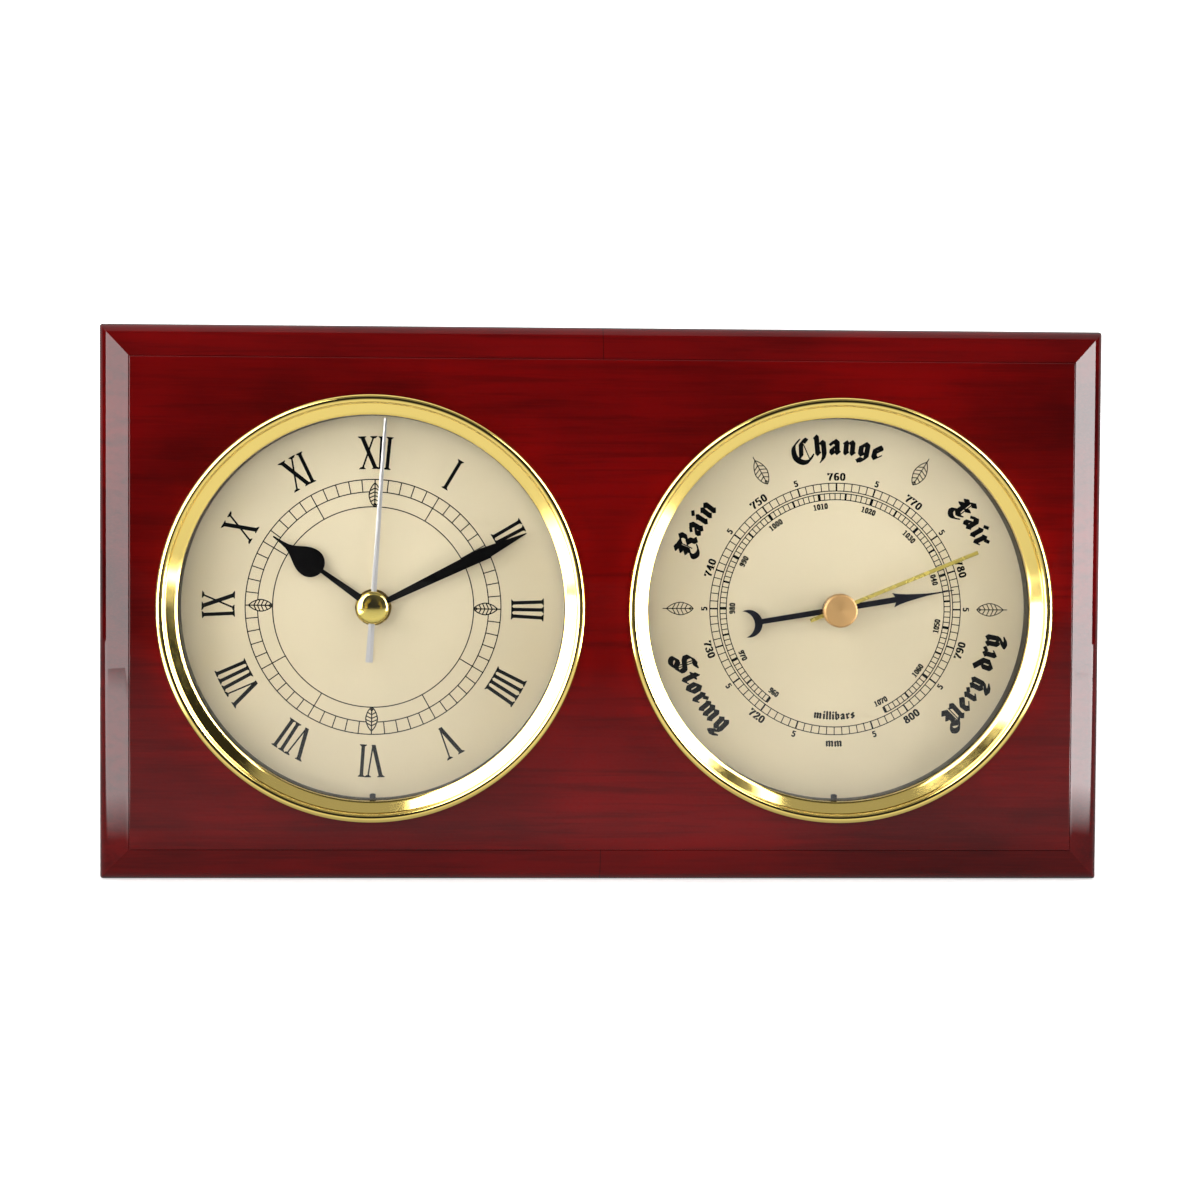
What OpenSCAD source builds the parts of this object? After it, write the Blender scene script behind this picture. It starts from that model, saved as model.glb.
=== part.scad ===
// Wall clock and barometer in one wooden board: a quartz clock on the left, an aneroid barometer
// on the right. The frame's origin is the centre of the board's back face, +Y points into the wall,
// +X to the right and +Z up. Pieces are drawn face on, with z as the distance from the wall.

/* [Board] */
// Wood between each bezel and the board's nearer end
side_margin = 18.5; // [17:0.5:34]
// Wood above and below the bezels
end_margin = 20.5; // [16:0.5:34]
// Wood between the two bezels
middle_margin = 13; // [8:0.5:20]
// Thickness of the wooden board
board_t = 30; // [29.5:0.5:36]
// Width of the border between the board's edge and its raised face
border_w = 10.3; // [8.5:0.1:11]
// Radius of the rounded outer edge
edge_r = 7; // [4:0.1:8]
// Radius of the board's upright corners
corner_r = 1; // [0.5:0.1:3]
// Slope of the bevel inside the rounded edge, in degrees
bevel_angle = 32; // [20:1:38]
// Height of the step round the raised face
step_h = 0.6; // [0.3:0.1:1.2]

/* [Instruments] */
// How far the pair of dials sits to the right of the board's middle
dial_shift = 0.6; // [-1:0.1:1.5]
// How far the dials sit below the board's middle
dial_drop = 1.1; // [-2:0.1:3]
// Outer radius of each bezel
bezel_r = 65; // [58:0.5:72]
// Height of the bezel's crown above the board
crown_h = 8; // [7.5:0.1:10]
// Radius of the broad roll that forms the crown
roll_r = 0.98; // [0.8:0.02:1.1]
// Radius of the fine bead outside the roll
bead_r = 0.52; // [0.4:0.02:0.6]
// Width of the bezel from its outside to the lip over the glass
rim_w = 6.1; // [5.5:0.1:6.5]
// Height of the lip above the board
lip_h = 2.8; // [2.2:0.1:3.4]
// Thickness of the glass
glass_t = 2; // [1.6:0.1:2.4]
// Depth of the dial below the board's face
dial_depth = 8; // [7.5:0.1:8.2]
// Thickness of the dial plate
dial_t = 0.5; // [0.3:0.1:0.8]
// Thickness of the case's sheet
case_wall = 0.7; // [0.5:0.1:1]
// Free gap between the case's floor and the wall
back_gap = 8; // [6:0.5:8.5]

/* [Hangers] */
// Distance from the middle of each keyhole plate to the board's end
hanger_inset = 19; // [16:0.5:22]
// Distance from the middle of each keyhole plate to the board's top
hanger_drop = 27.5; // [24:0.5:34]
// Radius of the keyhole's round entry
keyhole_r = 4.5; // [4:0.1:5.5]
// Width of the keyhole's slot
keyhole_slot_w = 4.4; // [3.6:0.1:5]
// Depth of the pocket for the screw's head
pocket_depth = 8; // [6:0.5:12]

/* [Clock movement] */
// Wall of the movement's case
movement_wall = 1.2; // [1:0.1:1.3]
// Diameter of the AA battery
battery_dia = 14.2; // [13.7:0.1:14.5]
// Length of the AA battery
battery_len = 50; // [49:0.5:51]
// Radius of the threaded bush through the dial
bush_r = 4; // [3.8:0.1:4.5]
// Radius of the pipe that carries the hour hand
hour_pipe_r = 2.55; // [2.4:0.05:2.7]
// Radius of the pipe that carries the minute hand
minute_pipe_r = 1.55; // [1.4:0.05:1.6]
// Radius of the arbor that carries the seconds hand
seconds_arbor_r = 0.75; // [0.6:0.05:0.85]
// Tooth size of the running train
train_module = 0.25; // [0.24:0.005:0.255]
// Tooth size of the motion work behind the hands
motion_module = 0.45; // [0.44:0.005:0.455]

/* [Clock hands] */
// Gap between the hour hand's tip and the bezel's lip
hour_tip_gap = 21.4; // [18:0.2:25]
// Gap between the minute hand's tip and the bezel's lip
minute_tip_gap = 6.5; // [4:0.5:12]
// Gap between the seconds hand's tip and the bezel's lip
seconds_tip_gap = 0.7; // [0.3:0.1:8]
// Reach of the seconds hand's tail
seconds_tail = 16.9; // [12:0.5:20]
// Thickness of the hands
hand_t = 0.3; // [0.2:0.05:0.4]
// Radius of the domed brass cap
cap_r = 5; // [4.5:0.1:5.6]

/* [Barometer] */
// Radius of the aneroid capsule
capsule_r = 16; // [14:0.5:16.5]
// Thickness of the aneroid capsule
capsule_t = 3.6; // [3:0.1:4]
// Tooth size of the sector and pinion
sector_module = 0.35; // [0.34:0.005:0.36]
// Radius of the arbor that carries the indicator
pointer_arbor_r = 0.7; // [0.6:0.05:0.8]
// Gap between the indicator's tip and the bezel's lip
indicator_tip_gap = 21.9; // [17:0.1:26]
// Gap between the set hand's tip and the bezel's lip
set_tip_gap = 11.9; // [5:0.1:19]
// Width of the set hand
set_hand_w = 1.2; // [0.9:0.1:1.6]
// Radius of the set hand's knob
set_knob_r = 5.2; // [4.5:0.1:6.5]
// Radius of the set hand's shaft
set_shaft_r = 1.2; // [0.9:0.1:1.5]

/* [Hidden] */

$fn = 96;
// Overrun of cuts past the faces they open
cut = 1;
// Gap of pieces that rest beside each other
seat_gap = 0.2;
// Radial clearance of a turning fit
run = 0.05;
// Radial clearance of a sliding fit
slip = 0.1;

// Gap of pieces that touch, such as a screw in the hole that its thread has cut
touch_gap = 0.02;

// Places of the dials, and the board round them
dial_spacing = 2 * bezel_r + middle_margin;
clock_x = dial_shift - dial_spacing / 2;
baro_x = dial_shift + dial_spacing / 2;
dial_y = -dial_drop;
board_w = dial_spacing + 2 * (bezel_r + side_margin);
board_h = 2 * (bezel_r + end_margin);

// Radii from the bezel inwards
lip_r = bezel_r - rim_w;
glass_overlap = 0.7;
glass_r = lip_r + glass_overlap;
case_in_r = glass_r + seat_gap;
case_out_r = case_in_r + case_wall;
skirt_wall = 0.65;
skirt_in_r = case_out_r + run;
skirt_out_r = skirt_in_r + skirt_wall;
bore_gap = 0.3;
bore_r = skirt_out_r + bore_gap;

// The bezel's fine bead and broad roll, with a groove where they meet
groove_lap = 0.15;
bead_drop = 1.35;
bead_c = bezel_r - bead_r;
roll_c = bead_c - bead_r - roll_r + groove_lap;
crevice_r = roll_c - roll_r;

// Reaches of the hands over the dials
hour_reach = lip_r - hour_tip_gap;
minute_reach = lip_r - minute_tip_gap;
seconds_reach = lip_r - seconds_tip_gap;
indicator_reach = lip_r - indicator_tip_gap;
set_reach = lip_r - set_tip_gap;

// Heights from the wall
lip_wall_h = 2.3;
crevice_rise = 2;
crown_z = board_t + crown_h;
lip_z = board_t + lip_h;
glass_z1 = lip_z - lip_wall_h;
glass_z0 = glass_z1 - glass_t;
dial_z1 = board_t - dial_depth;
dial_z0 = dial_z1 - dial_t;
skirt_h = 5;
case_lap = 0.3;
case_top_z = glass_z0 - case_lap;
case_floor_z = back_gap;

// Everything is drawn face on and turned to stand on the wall
module face_on() { rotate([90, 0, 0]) children(); }
module at_clock(z = 0) { face_on() translate([clock_x, dial_y, z]) children(); }
module at_baro(z = 0) { face_on() translate([baro_x, dial_y, z]) children(); }
// A round bar or a tube that starts at z0 and ends at z1
module bar(r, z0, z1) { translate([0, 0, z0]) cylinder(r = r, h = z1 - z0); }
module tube(r_out, r_in, z0, z1) {
    difference() {
        bar(r_out, z0, z1);
        bar(r_in, z0 - cut, z1 + cut);
    }
}
// A block with its four upright corners rounded
module soft_block(w, h, r, z0, z1) {
    translate([-w / 2 + r, -h / 2, z0]) cube([w - 2 * r, h, z1 - z0]);
    translate([-w / 2, -h / 2 + r, z0]) cube([w, h - 2 * r, z1 - z0]);
    for (x = [-1, 1], y = [-1, 1])
        translate([x * (w / 2 - r), y * (h / 2 - r), 0]) bar(r, z0, z1);
}
function polar(r, a) = [r * cos(a), r * sin(a)];
function arc_points(centre, r, first, last, steps) =
    [for (i = [0 : steps]) centre + polar(r, first + (last - first) * i / steps)];

// Gear teeth: corner places as shares of the tooth pitch and of the tooth size
tooth_shares = [[-0.27, -1.15], [-0.10, 0.85], [0.10, 0.85], [0.27, -1.15]];
function pitch_r(teeth, size) = teeth * size / 2;
function tooth_ring(teeth, size, turn, first = 0, last = -1) = [
    for (i = [first : (last < 0 ? teeth - 1 : last)], s = tooth_shares)
        polar(pitch_r(teeth, size) + size * s[1], turn + (i + s[0]) * 360 / teeth)];
// Turn of gear b that puts its gap on a tooth of gear a, b lying at the given direction from a
function mesh_turn(turn_a, direction, teeth_a, teeth_b) =
    direction + 180 - (turn_a - direction) * teeth_a / teeth_b + 180 / teeth_b;
module gear(teeth, size, turn, z0, z1) {
    translate([0, 0, z0]) linear_extrude(z1 - z0) polygon(tooth_ring(teeth, size, turn));
}

// Board

bevel_run = border_w - edge_r * (1 - sin(bevel_angle));
bevel_fall = bevel_run * tan(bevel_angle);
edge_z = board_t - step_h - bevel_fall - edge_r * cos(bevel_angle);

edge_steps = 12;

// Section of the board across one of its two directions
module board_section(width) {
    half = width / 2;
    round_edge = arc_points([half - edge_r, edge_z], edge_r, 0, 90 - bevel_angle, edge_steps);
    right = concat([[half, 0]], round_edge,
        [[half - border_w, board_t - step_h], [half - border_w, board_t]]);
    polygon(concat(right, [for (i = [len(right) - 1 : -1 : 0]) [-right[i][0], right[i][1]]]));
}

plate_w = 16;
plate_t = 1;
keyhole_drop = 5;
keyhole_rise = 5.5;
head_room = 1.6;
screw_r = 1.3;
screw_head_r = 2.5;
screw_head_h = 0.9;
screw_len = 12;
head_slope = (screw_head_r - screw_r) / screw_head_h;
sink_r = screw_head_r + slip + cut * head_slope;
// The plate's screws stand clear of the keyhole, near the middles of its round ends
screw_land = 1;
plate_screw_shift = 1;
plate_screw_y = keyhole_drop + keyhole_r + screw_land + screw_head_r;
plate_h = 2 * (plate_screw_y - plate_screw_shift) + plate_w;
hanger_x = board_w / 2 - hanger_inset;
hanger_y = board_h / 2 - hanger_drop;

module at_hangers() {
    for (side = [-1, 1])
        face_on() translate([side * hanger_x, hanger_y, 0]) children();
}
module plate_outline(gap, z0, z1) {
    reach = plate_h / 2 - plate_w / 2;
    for (side = [-1, 1]) translate([0, side * reach, 0]) bar(plate_w / 2 + gap, z0, z1);
    translate([-plate_w / 2 - gap, -reach, z0]) cube([plate_w + 2 * gap, 2 * reach, z1 - z0]);
}
module keyhole(gap, z0, z1) {
    slot = keyhole_slot_w + 2 * gap;
    translate([0, -keyhole_drop, 0]) bar(keyhole_r + gap, z0, z1);
    translate([0, keyhole_rise, 0]) bar(slot / 2, z0, z1);
    translate([-slot / 2, -keyhole_drop, z0]) cube([slot, keyhole_drop + keyhole_rise, z1 - z0]);
}
module board() {
    color("#5a0b10") difference() {
        intersection() {
            translate([0, 0, -board_h / 2]) linear_extrude(board_h)
                mirror([0, 1]) board_section(board_w);
            translate([-board_w / 2, 0, 0]) rotate([90, 0, 90]) linear_extrude(board_w)
                rotate(90) board_section(board_h);
            face_on() soft_block(board_w, board_h, corner_r, -cut, board_t + cut);
        }
        face_on() for (x = [clock_x, baro_x]) translate([x, dial_y, 0])
            bar(bore_r, -cut, board_t + cut);
        at_hangers() {
            plate_outline(slip, -cut, plate_t);
            keyhole(head_room, -cut, pocket_depth);
            for (side = [-1, 1]) translate([0, side * plate_screw_y, 0])
                bar(screw_r + touch_gap, -cut, screw_len + plate_t);
        }
    }
}
module hanger_plates() {
    color("goldenrod") at_hangers() difference() {
        plate_outline(0, 0, plate_t);
        keyhole(0, -cut, plate_t + cut);
        for (side = [-1, 1]) translate([0, side * plate_screw_y, 0]) {
            bar(screw_r + slip, -cut, plate_t + cut);
            translate([0, 0, -cut]) cylinder(r1 = sink_r, r2 = 0, h = sink_r / head_slope);
        }
    }
}
module hanger_screws() {
    color("silver") at_hangers() for (side = [-1, 1]) translate([0, side * plate_screw_y, 0]) {
        bar(screw_r, screw_head_h, screw_len);
        cylinder(r1 = screw_head_r, r2 = screw_r, h = screw_head_h);
    }
}

// Bezels, glasses, spacers, dials and cases, alike on both instruments

bead_steps = 12;
module bezel() {
    roll_z = crown_z - roll_r;
    bead_z = crown_z - bead_drop;
    crevice_z = lip_z + crevice_rise;
    // The roll's arc ends and the bead's begins where the two circles cross
    apart = norm([bead_c - roll_c, bead_z - roll_z]);
    tilt = atan2(roll_z - bead_z, bead_c - roll_c);
    chord = (apart * apart + roll_r * roll_r - bead_r * bead_r) / (2 * apart);
    roll_end = acos(chord / roll_r) - tilt;
    bead_start = 180 - tilt - acos((apart - chord) / bead_r);
    rotate_extrude($fn = 180) polygon(concat([
            [bezel_r, board_t], [skirt_out_r, board_t], [skirt_out_r, board_t - skirt_h],
            [skirt_in_r, board_t - skirt_h], [skirt_in_r, case_top_z], [case_in_r, case_top_z],
            [case_in_r, glass_z1], [lip_r, glass_z1], [lip_r, lip_z], [crevice_r, crevice_z],
        ],
        arc_points([roll_c, roll_z], roll_r, 180, roll_end, bead_steps),
        arc_points([bead_c, bead_z], bead_r, bead_start, 0, bead_steps)));
}
module clock_bezel() { color("gold") at_clock() bezel(); }
module baro_bezel() { color("gold") at_baro() bezel(); }

module clock_lens() { color("lightcyan", 0.3) at_clock() bar(glass_r, glass_z0, glass_z1); }
module baro_lens() {
    color("lightcyan", 0.3) at_baro() tube(glass_r, set_shaft_r + run, glass_z0, glass_z1);
}

// Black ring that holds the glass off the dial, with the locating nub at its foot
nub_r = 0.9;
nub_h = 1.2;
module spacer() {
    tube(glass_r, lip_r, dial_z1, glass_z0);
    translate([0, -lip_r - nub_r / 2, 0]) intersection() {
        bar(2 * nub_r, dial_z1, dial_z1 + nub_h);
        translate([-nub_r, 0, dial_z1]) cube([2 * nub_r, 2 * nub_r, nub_h]);
    }
}
module clock_spacer() { color("black") at_clock() spacer(); }
module baro_spacer() { color("black") at_baro() spacer(); }

module clock_dial() { color("#d9c9a3") at_clock() tube(glass_r, bush_r + slip, dial_z0, dial_z1); }
dial_hole_r = 2 * pointer_arbor_r;
module baro_dial() { color("#d9c9a3") at_baro() tube(glass_r, dial_hole_r, dial_z0, dial_z1); }

// Pressed case: the wide mouth holds dial and glass, and the shoulder carries the dial
shoulder_w = 1;
cup_in_r = case_in_r - shoulder_w;
cup_out_r = cup_in_r + case_wall;
module case_shell() {
    rotate_extrude($fn = 180) polygon([
        [0, case_floor_z], [cup_out_r, case_floor_z], [cup_out_r, dial_z0 - case_wall],
        [case_out_r, dial_z0 - case_wall], [case_out_r, case_top_z], [case_in_r, case_top_z],
        [case_in_r, dial_z0], [cup_in_r, dial_z0], [cup_in_r, case_floor_z + case_wall],
        [0, case_floor_z + case_wall],
    ]);
}
window_gap = 0.3;
module clock_case() {
    color("#8a7440") at_clock() difference() {
        case_shell();
        soft_block(movement_w + 2 * window_gap, movement_w + 2 * window_gap,
            movement_corner_r + window_gap, case_floor_z - cut, case_floor_z + case_wall + cut);
    }
}
module baro_case() {
    color("#8a7440") at_baro() difference() {
        case_shell();
        translate([capsule_x, capsule_y, 0])
            bar(regulator_hole_r, case_floor_z - cut, case_floor_z + case_wall + cut);
        for (a = case_screw_angles) translate(concat(polar(case_screw_ring, a), 0))
            translate([plate_x, plate_y, 0])
                bar(small_screw_r + slip, case_floor_z - cut, case_floor_z + case_wall + cut);
    }
}

// Bowed spring clips between the case and the bore
clip_t = 0.4;
clip_span = 9;
clip_angles = [90, 210, 330];
clip_foot_gap = 3;
clip_head_gap = 1;
clip_z0 = case_floor_z + clip_foot_gap;
clip_z1 = dial_z0 - case_wall - clip_head_gap;
module clips() {
    bow_r = bore_r - seat_gap;
    mid_z = (clip_z0 + clip_z1) / 2;
    for (a = clip_angles) rotate(a - clip_span / 2) rotate_extrude(angle = clip_span) polygon([
        [cup_out_r, clip_z0], [cup_out_r + clip_t, clip_z0], [bow_r, mid_z],
        [cup_out_r + clip_t, clip_z1], [cup_out_r, clip_z1], [cup_out_r, clip_z1 - clip_t],
        [bow_r - clip_t, mid_z], [cup_out_r, clip_z0 + clip_t],
    ]);
}
module clock_clips() { color("silver") at_clock() clips(); }
module baro_clips() { color("silver") at_baro() clips(); }

// Quartz movement: z0 is its back, and heights below are measured from there

movement_corner_r = 3;
split_h = 9.6;

// Train: levels of the wheels above the movement's back
wheel_t = 0.6;
pinion_lap = 0.4;
intermediate_h = 2.4;
seconds_h = 4;
third_h = 5.6;
centre_h = 7.4;
bridge_h = 8.8;
bridge_t = 0.8;
minute_wheel_h = 10.4;
hour_wheel_h = 12.2;
train_top_h = hour_wheel_h + wheel_t + pinion_lap;

rotor_teeth = 8;
intermediate_teeth = 40;
intermediate_pinion_teeth = 10;
seconds_teeth = 60;
seconds_pinion_teeth = 8;
third_teeth = 60;
third_pinion_teeth = 8;
centre_teeth = 64;
cannon_teeth = 10;
minute_wheel_teeth = 30;
minute_pinion_teeth = 8;
hour_teeth = 32;
setting_teeth = 12;

// Arbor places: distances follow from the teeth, directions are chosen to clear each other
intermediate_dir = 20;
third_dir = 110;
minute_dir = 200;
setting_dir = 170;
function mesh_distance(a, b, size) = pitch_r(a, size) + pitch_r(b, size);
intermediate_at = polar(mesh_distance(seconds_teeth, intermediate_pinion_teeth, train_module),
    intermediate_dir);
rotor_at = intermediate_at
    + polar(mesh_distance(intermediate_teeth, rotor_teeth, train_module), intermediate_dir);
third_distance = mesh_distance(seconds_pinion_teeth, third_teeth, train_module);
third_at = polar(third_distance, third_dir);
centre_module = 2 * third_distance / (third_pinion_teeth + centre_teeth);
minute_at = polar(mesh_distance(cannon_teeth, minute_wheel_teeth, motion_module), minute_dir);
setting_at = minute_at
    + polar(mesh_distance(minute_wheel_teeth, setting_teeth, motion_module), setting_dir);

// Turns of the wheels that put them in mesh
seconds_turn = 0;
intermediate_turn = mesh_turn(seconds_turn, intermediate_dir, seconds_teeth,
    intermediate_pinion_teeth);
rotor_turn = mesh_turn(intermediate_turn, intermediate_dir, intermediate_teeth, rotor_teeth);
third_turn = mesh_turn(seconds_turn, third_dir, seconds_pinion_teeth, third_teeth);
centre_turn = mesh_turn(third_turn, third_dir + 180, third_pinion_teeth, centre_teeth);
cannon_turn = 0;
minute_turn = mesh_turn(cannon_turn, minute_dir, cannon_teeth, minute_wheel_teeth);
hour_turn = mesh_turn(minute_turn, minute_dir + 180, minute_pinion_teeth, hour_teeth);
setting_turn = mesh_turn(minute_turn, setting_dir, minute_wheel_teeth, setting_teeth);

arbor_r = 0.5;
lower_arbor_r = 0.6;
setting_arbor_r = 1;
boss_wall = 0.9;
pivot_h = 0.5;
boss_h = 0.7;

// Battery bay across the movement's foot; the case is made for the battery, the coil and the train
bay_gap = 0.3;
bay_wall = 0.8;
battery_nub_r = 2.7;
battery_nub_len = 1.2;
contact_room = 1.8;
coil_x = 22.2;
coil_r = 2.6;
bay_h = battery_dia + 2 * bay_gap;
train_drop = pitch_r(minute_wheel_teeth, motion_module) + motion_module - minute_at[1];
movement_in = max(battery_len / 2 + contact_room, coil_x + coil_r + seat_gap,
    bay_h + bay_wall + train_drop + seat_gap);
movement_w = 2 * (movement_in + movement_wall);
movement_d = max(bay_h, train_top_h + seat_gap) + movement_wall;
movement_z0 = dial_z0 - movement_d;
front_wall_h = movement_d - movement_wall;
battery_y = -movement_in + bay_gap + battery_dia / 2;
bay_top_y = battery_y + battery_dia / 2 + bay_gap;
battery_h = front_wall_h - bay_gap - battery_dia / 2;
module at_movement() { at_clock(movement_z0) children(); }

// Back shell: battery window, bearing bosses and the posts under the bridge
window_len = battery_len + 2 * seat_gap;
window_w = 11.5;
post_r = 1.4;
// Bridge over the train: its plate reaches past the third wheel, and its posts follow the plate
centre_pad_r = third_distance + pitch_r(third_teeth, train_module) + post_r;
minute_pad_r = 6.4;
rotor_pad_r = 4;
bridge_post_shares = [[-0.943, 0.431], [0.144, 1.069], [0.69, -0.425], [-0.368, -0.483]];
bridge_posts = [for (s = bridge_post_shares) centre_pad_r * s];
module bosses() {
    at = [[intermediate_at, arbor_r], [rotor_at, arbor_r], [third_at, arbor_r],
        [[0, 0], lower_arbor_r]];
    for (b = at) translate(concat(b[0], 0))
        bar(b[1] + run + boss_wall, movement_wall - pivot_h, movement_wall + boss_h);
}
module movement_back() {
    color("#202124") at_movement() difference() {
        union() {
            difference() {
                soft_block(movement_w, movement_w, movement_corner_r, 0, split_h);
                soft_block(2 * movement_in, 2 * movement_in, movement_corner_r - movement_wall,
                    movement_wall, split_h + cut);
            }
            bosses();
            for (p = bridge_posts) translate(concat(p, 0)) bar(post_r, movement_wall, bridge_h);
            translate([-movement_in, bay_top_y, 0])
                cube([2 * movement_in, bay_wall, split_h]);
            for (x = board_posts_x) translate([x, circuit_y, 0])
                bar(post_r, movement_wall, circuit_h);
            for (y = coil_rest_y) translate([coil_x - coil_rest_w / 2, y, movement_wall - pivot_h])
                cube([coil_rest_w, coil_rest_t, stator_h - movement_wall + pivot_h]);
        }
        translate([-window_len / 2, battery_y - window_w / 2, -cut])
            cube([window_len, window_w, movement_wall + 2 * cut]);
        for (p = [intermediate_at, rotor_at, third_at]) translate(concat(p, 0))
            bar(arbor_r + run, movement_wall - pivot_h, movement_wall + boss_h + cut);
        bar(lower_arbor_r + run, movement_wall - pivot_h, movement_wall + boss_h + cut);
        translate(concat(setting_at, 0)) bar(setting_arbor_r + run, -cut, movement_wall + cut);
    }
}
nut_t = 1;
washer_t = 0.2;
dial_face_h = movement_d + dial_t;
nut_top_h = dial_face_h + washer_t + nut_t;
bush_over = 0.1;
bush_z = nut_top_h + bush_over;
module movement_front() {
    color("#202124") at_movement() difference() {
        union() {
            difference() {
                soft_block(movement_w, movement_w, movement_corner_r, split_h, movement_d);
                soft_block(2 * movement_in, 2 * movement_in, movement_corner_r - movement_wall,
                    split_h - cut, front_wall_h);
            }
            bar(bush_r, front_wall_h, bush_z);
            translate(concat(minute_at, 0))
                bar(arbor_r + run + boss_wall, front_wall_h - boss_h, front_wall_h + pivot_h);
            translate([-movement_in, bay_top_y, split_h])
                cube([2 * movement_in, bay_wall, movement_d - split_h]);
        }
        bar(hour_pipe_r + run, front_wall_h - cut, bush_z + cut);
        translate(concat(minute_at, 0))
            bar(arbor_r + run, front_wall_h - boss_h - cut, front_wall_h + pivot_h);
    }
}
module train_bridge() {
    color("dimgray") at_movement() difference() {
        union() {
            translate(concat(setting_at, 0))
                bar(setting_arbor_r + boss_wall, bridge_h, bridge_h + bridge_t);
            for (p = bridge_posts) translate(concat(p, 0))
                bar(post_r + boss_wall, bridge_h, bridge_h + bridge_t);
            translate(concat(minute_at, 0))
                bar(minute_pad_r, bridge_h, bridge_h + bridge_t);
            bar(centre_pad_r, bridge_h, bridge_h + bridge_t);
            translate(concat(rotor_at, 0)) bar(rotor_pad_r, bridge_h, bridge_h + bridge_t);
        }
        translate([-movement_in, -movement_w / 2, bridge_h - cut])
            cube([2 * movement_in, movement_w / 2 + bay_top_y + bay_wall + seat_gap, bridge_t + 2 * cut]);
        bar(minute_pipe_r + run, bridge_h - cut, bridge_h + bridge_t + cut);
        for (p = [intermediate_at, rotor_at, third_at, minute_at]) translate(concat(p, 0))
            bar(arbor_r + run, bridge_h - cut, bridge_h + bridge_t + cut);
        translate(concat(setting_at, 0))
            bar(setting_arbor_r + run, bridge_h - cut, bridge_h + bridge_t + cut);
    }
}
module bush_washer() {
    color("goldenrod") at_movement()
        tube(washer_r, bush_r + slip, dial_face_h, dial_face_h + washer_t);
}
washer_r = 5.6;
nut_r = 5.2;
module bush_nut() {
    color("#1a1a1a") at_movement() difference() {
        translate([0, 0, dial_face_h + washer_t]) cylinder(r = nut_r, h = nut_t, $fn = 6);
        bar(bush_r + slip, dial_face_h, nut_top_h + cut);
    }
}

// Motor: rotor magnet between the stator's poles, and the coil beside it
magnet_r = 2.8;
magnet_t = 1.8;
pole_gap = 0.4;
stator_h = 5.8;
stator_t = 0.8;
pole_r = magnet_r + pole_gap;
pole_wall = 1;
arm_w = 2;
core_w = 2;
arm_top_y = 17;
arm_low_y = rotor_at[1] - pole_r - pole_wall;
coil_rest_t = 0.8;
coil_rest_w = 3;
coil_rest_y = [arm_low_y + arm_w - coil_rest_t, arm_top_y - arm_w];
module stator() {
    pole = pole_r + pole_wall;
    color("slategray") at_movement() difference() {
        translate([0, 0, stator_h]) linear_extrude(stator_t) polygon([
            [rotor_at[0] - pole, arm_low_y], [coil_x + core_w, arm_low_y],
            [coil_x + core_w, arm_low_y + arm_w], [rotor_at[0] + pole, arm_low_y + arm_w],
            [rotor_at[0] + pole, rotor_at[1] + pole - arm_w], [rotor_at[0] + arm_w, rotor_at[1] + pole],
            [rotor_at[0] + arm_w, arm_top_y - arm_w], [coil_x + core_w, arm_top_y - arm_w],
            [coil_x + core_w, arm_top_y], [rotor_at[0], arm_top_y],
            [rotor_at[0], rotor_at[1] + pole], [rotor_at[0] - pole, rotor_at[1] + pole],
        ]);
        translate(concat(rotor_at, 0)) bar(pole_r, stator_h - cut, stator_h + stator_t + cut);
    }
}
flange_t = 0.6;
module coil() {
    span = arm_top_y - arm_low_y - 2 * arm_w;
    coil_len = span - 2 * seat_gap;
    mid_y = (arm_low_y + arm_top_y) / 2;
    mid_h = stator_h + stator_t / 2;
    color("sienna") at_movement() translate([coil_x, mid_y, mid_h]) rotate([90, 0, 0]) {
        cylinder(r = coil_r - flange_t, h = coil_len, center = true);
        for (side = [-1, 1]) translate([0, 0, side * (coil_len - flange_t) / 2])
            cylinder(r = coil_r, h = flange_t, center = true);
        cylinder(r = stator_t / 2, h = span, center = true);
    }
}
// Circuit board on two posts, with its driver chip and crystal
circuit_h = 2.6;
circuit_t = 0.8;
circuit_w = 12;
circuit_l = 15;
circuit_x = -movement_in + seat_gap + circuit_w / 2;
circuit_top_gap = 1.9;
circuit_y = movement_in - circuit_top_gap - circuit_l / 2;
board_posts_x = [circuit_x - circuit_w / 4, circuit_x + circuit_w / 4];
chip_r = 2.6;
chip_t = 0.9;
crystal_r = 1;
crystal_sink = 0.1;
crystal_len = 6;
module circuit_board() {
    color("darkgreen") at_movement() translate([circuit_x, circuit_y, circuit_h]) {
        translate([-circuit_w / 2, -circuit_l / 2, 0]) cube([circuit_w, circuit_l, circuit_t]);
        translate([0, circuit_l / 4, 0]) bar(chip_r, circuit_t, circuit_t + chip_t);
        translate([0, -circuit_l / 4, circuit_t + crystal_r - crystal_sink]) rotate([0, 90, 0])
            cylinder(r = crystal_r, h = crystal_len, center = true);
    }
}
module battery() {
    color("#30343a") at_movement() translate([-battery_len / 2, battery_y, battery_h])
        rotate([0, 90, 0]) {
            cylinder(r = battery_dia / 2, h = battery_len - battery_nub_len);
            cylinder(r = battery_nub_r, h = battery_len);
        }
}
contact_t = 0.4;
contact_w = 9;
module battery_contacts() {
    gap = movement_in - battery_len / 2;
    color("silver") at_movement() for (side = [-1, 1])
        translate([side * (movement_in - gap / 2) - (gap - seat_gap) / 2, battery_y - contact_w / 2,
            battery_h - contact_w / 2]) difference() {
            cube([gap - seat_gap, contact_w, contact_w]);
            translate([contact_t, -cut, contact_t])
                cube([gap - seat_gap - 2 * contact_t, contact_w + 2 * cut, contact_w]);
        }
}

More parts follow.
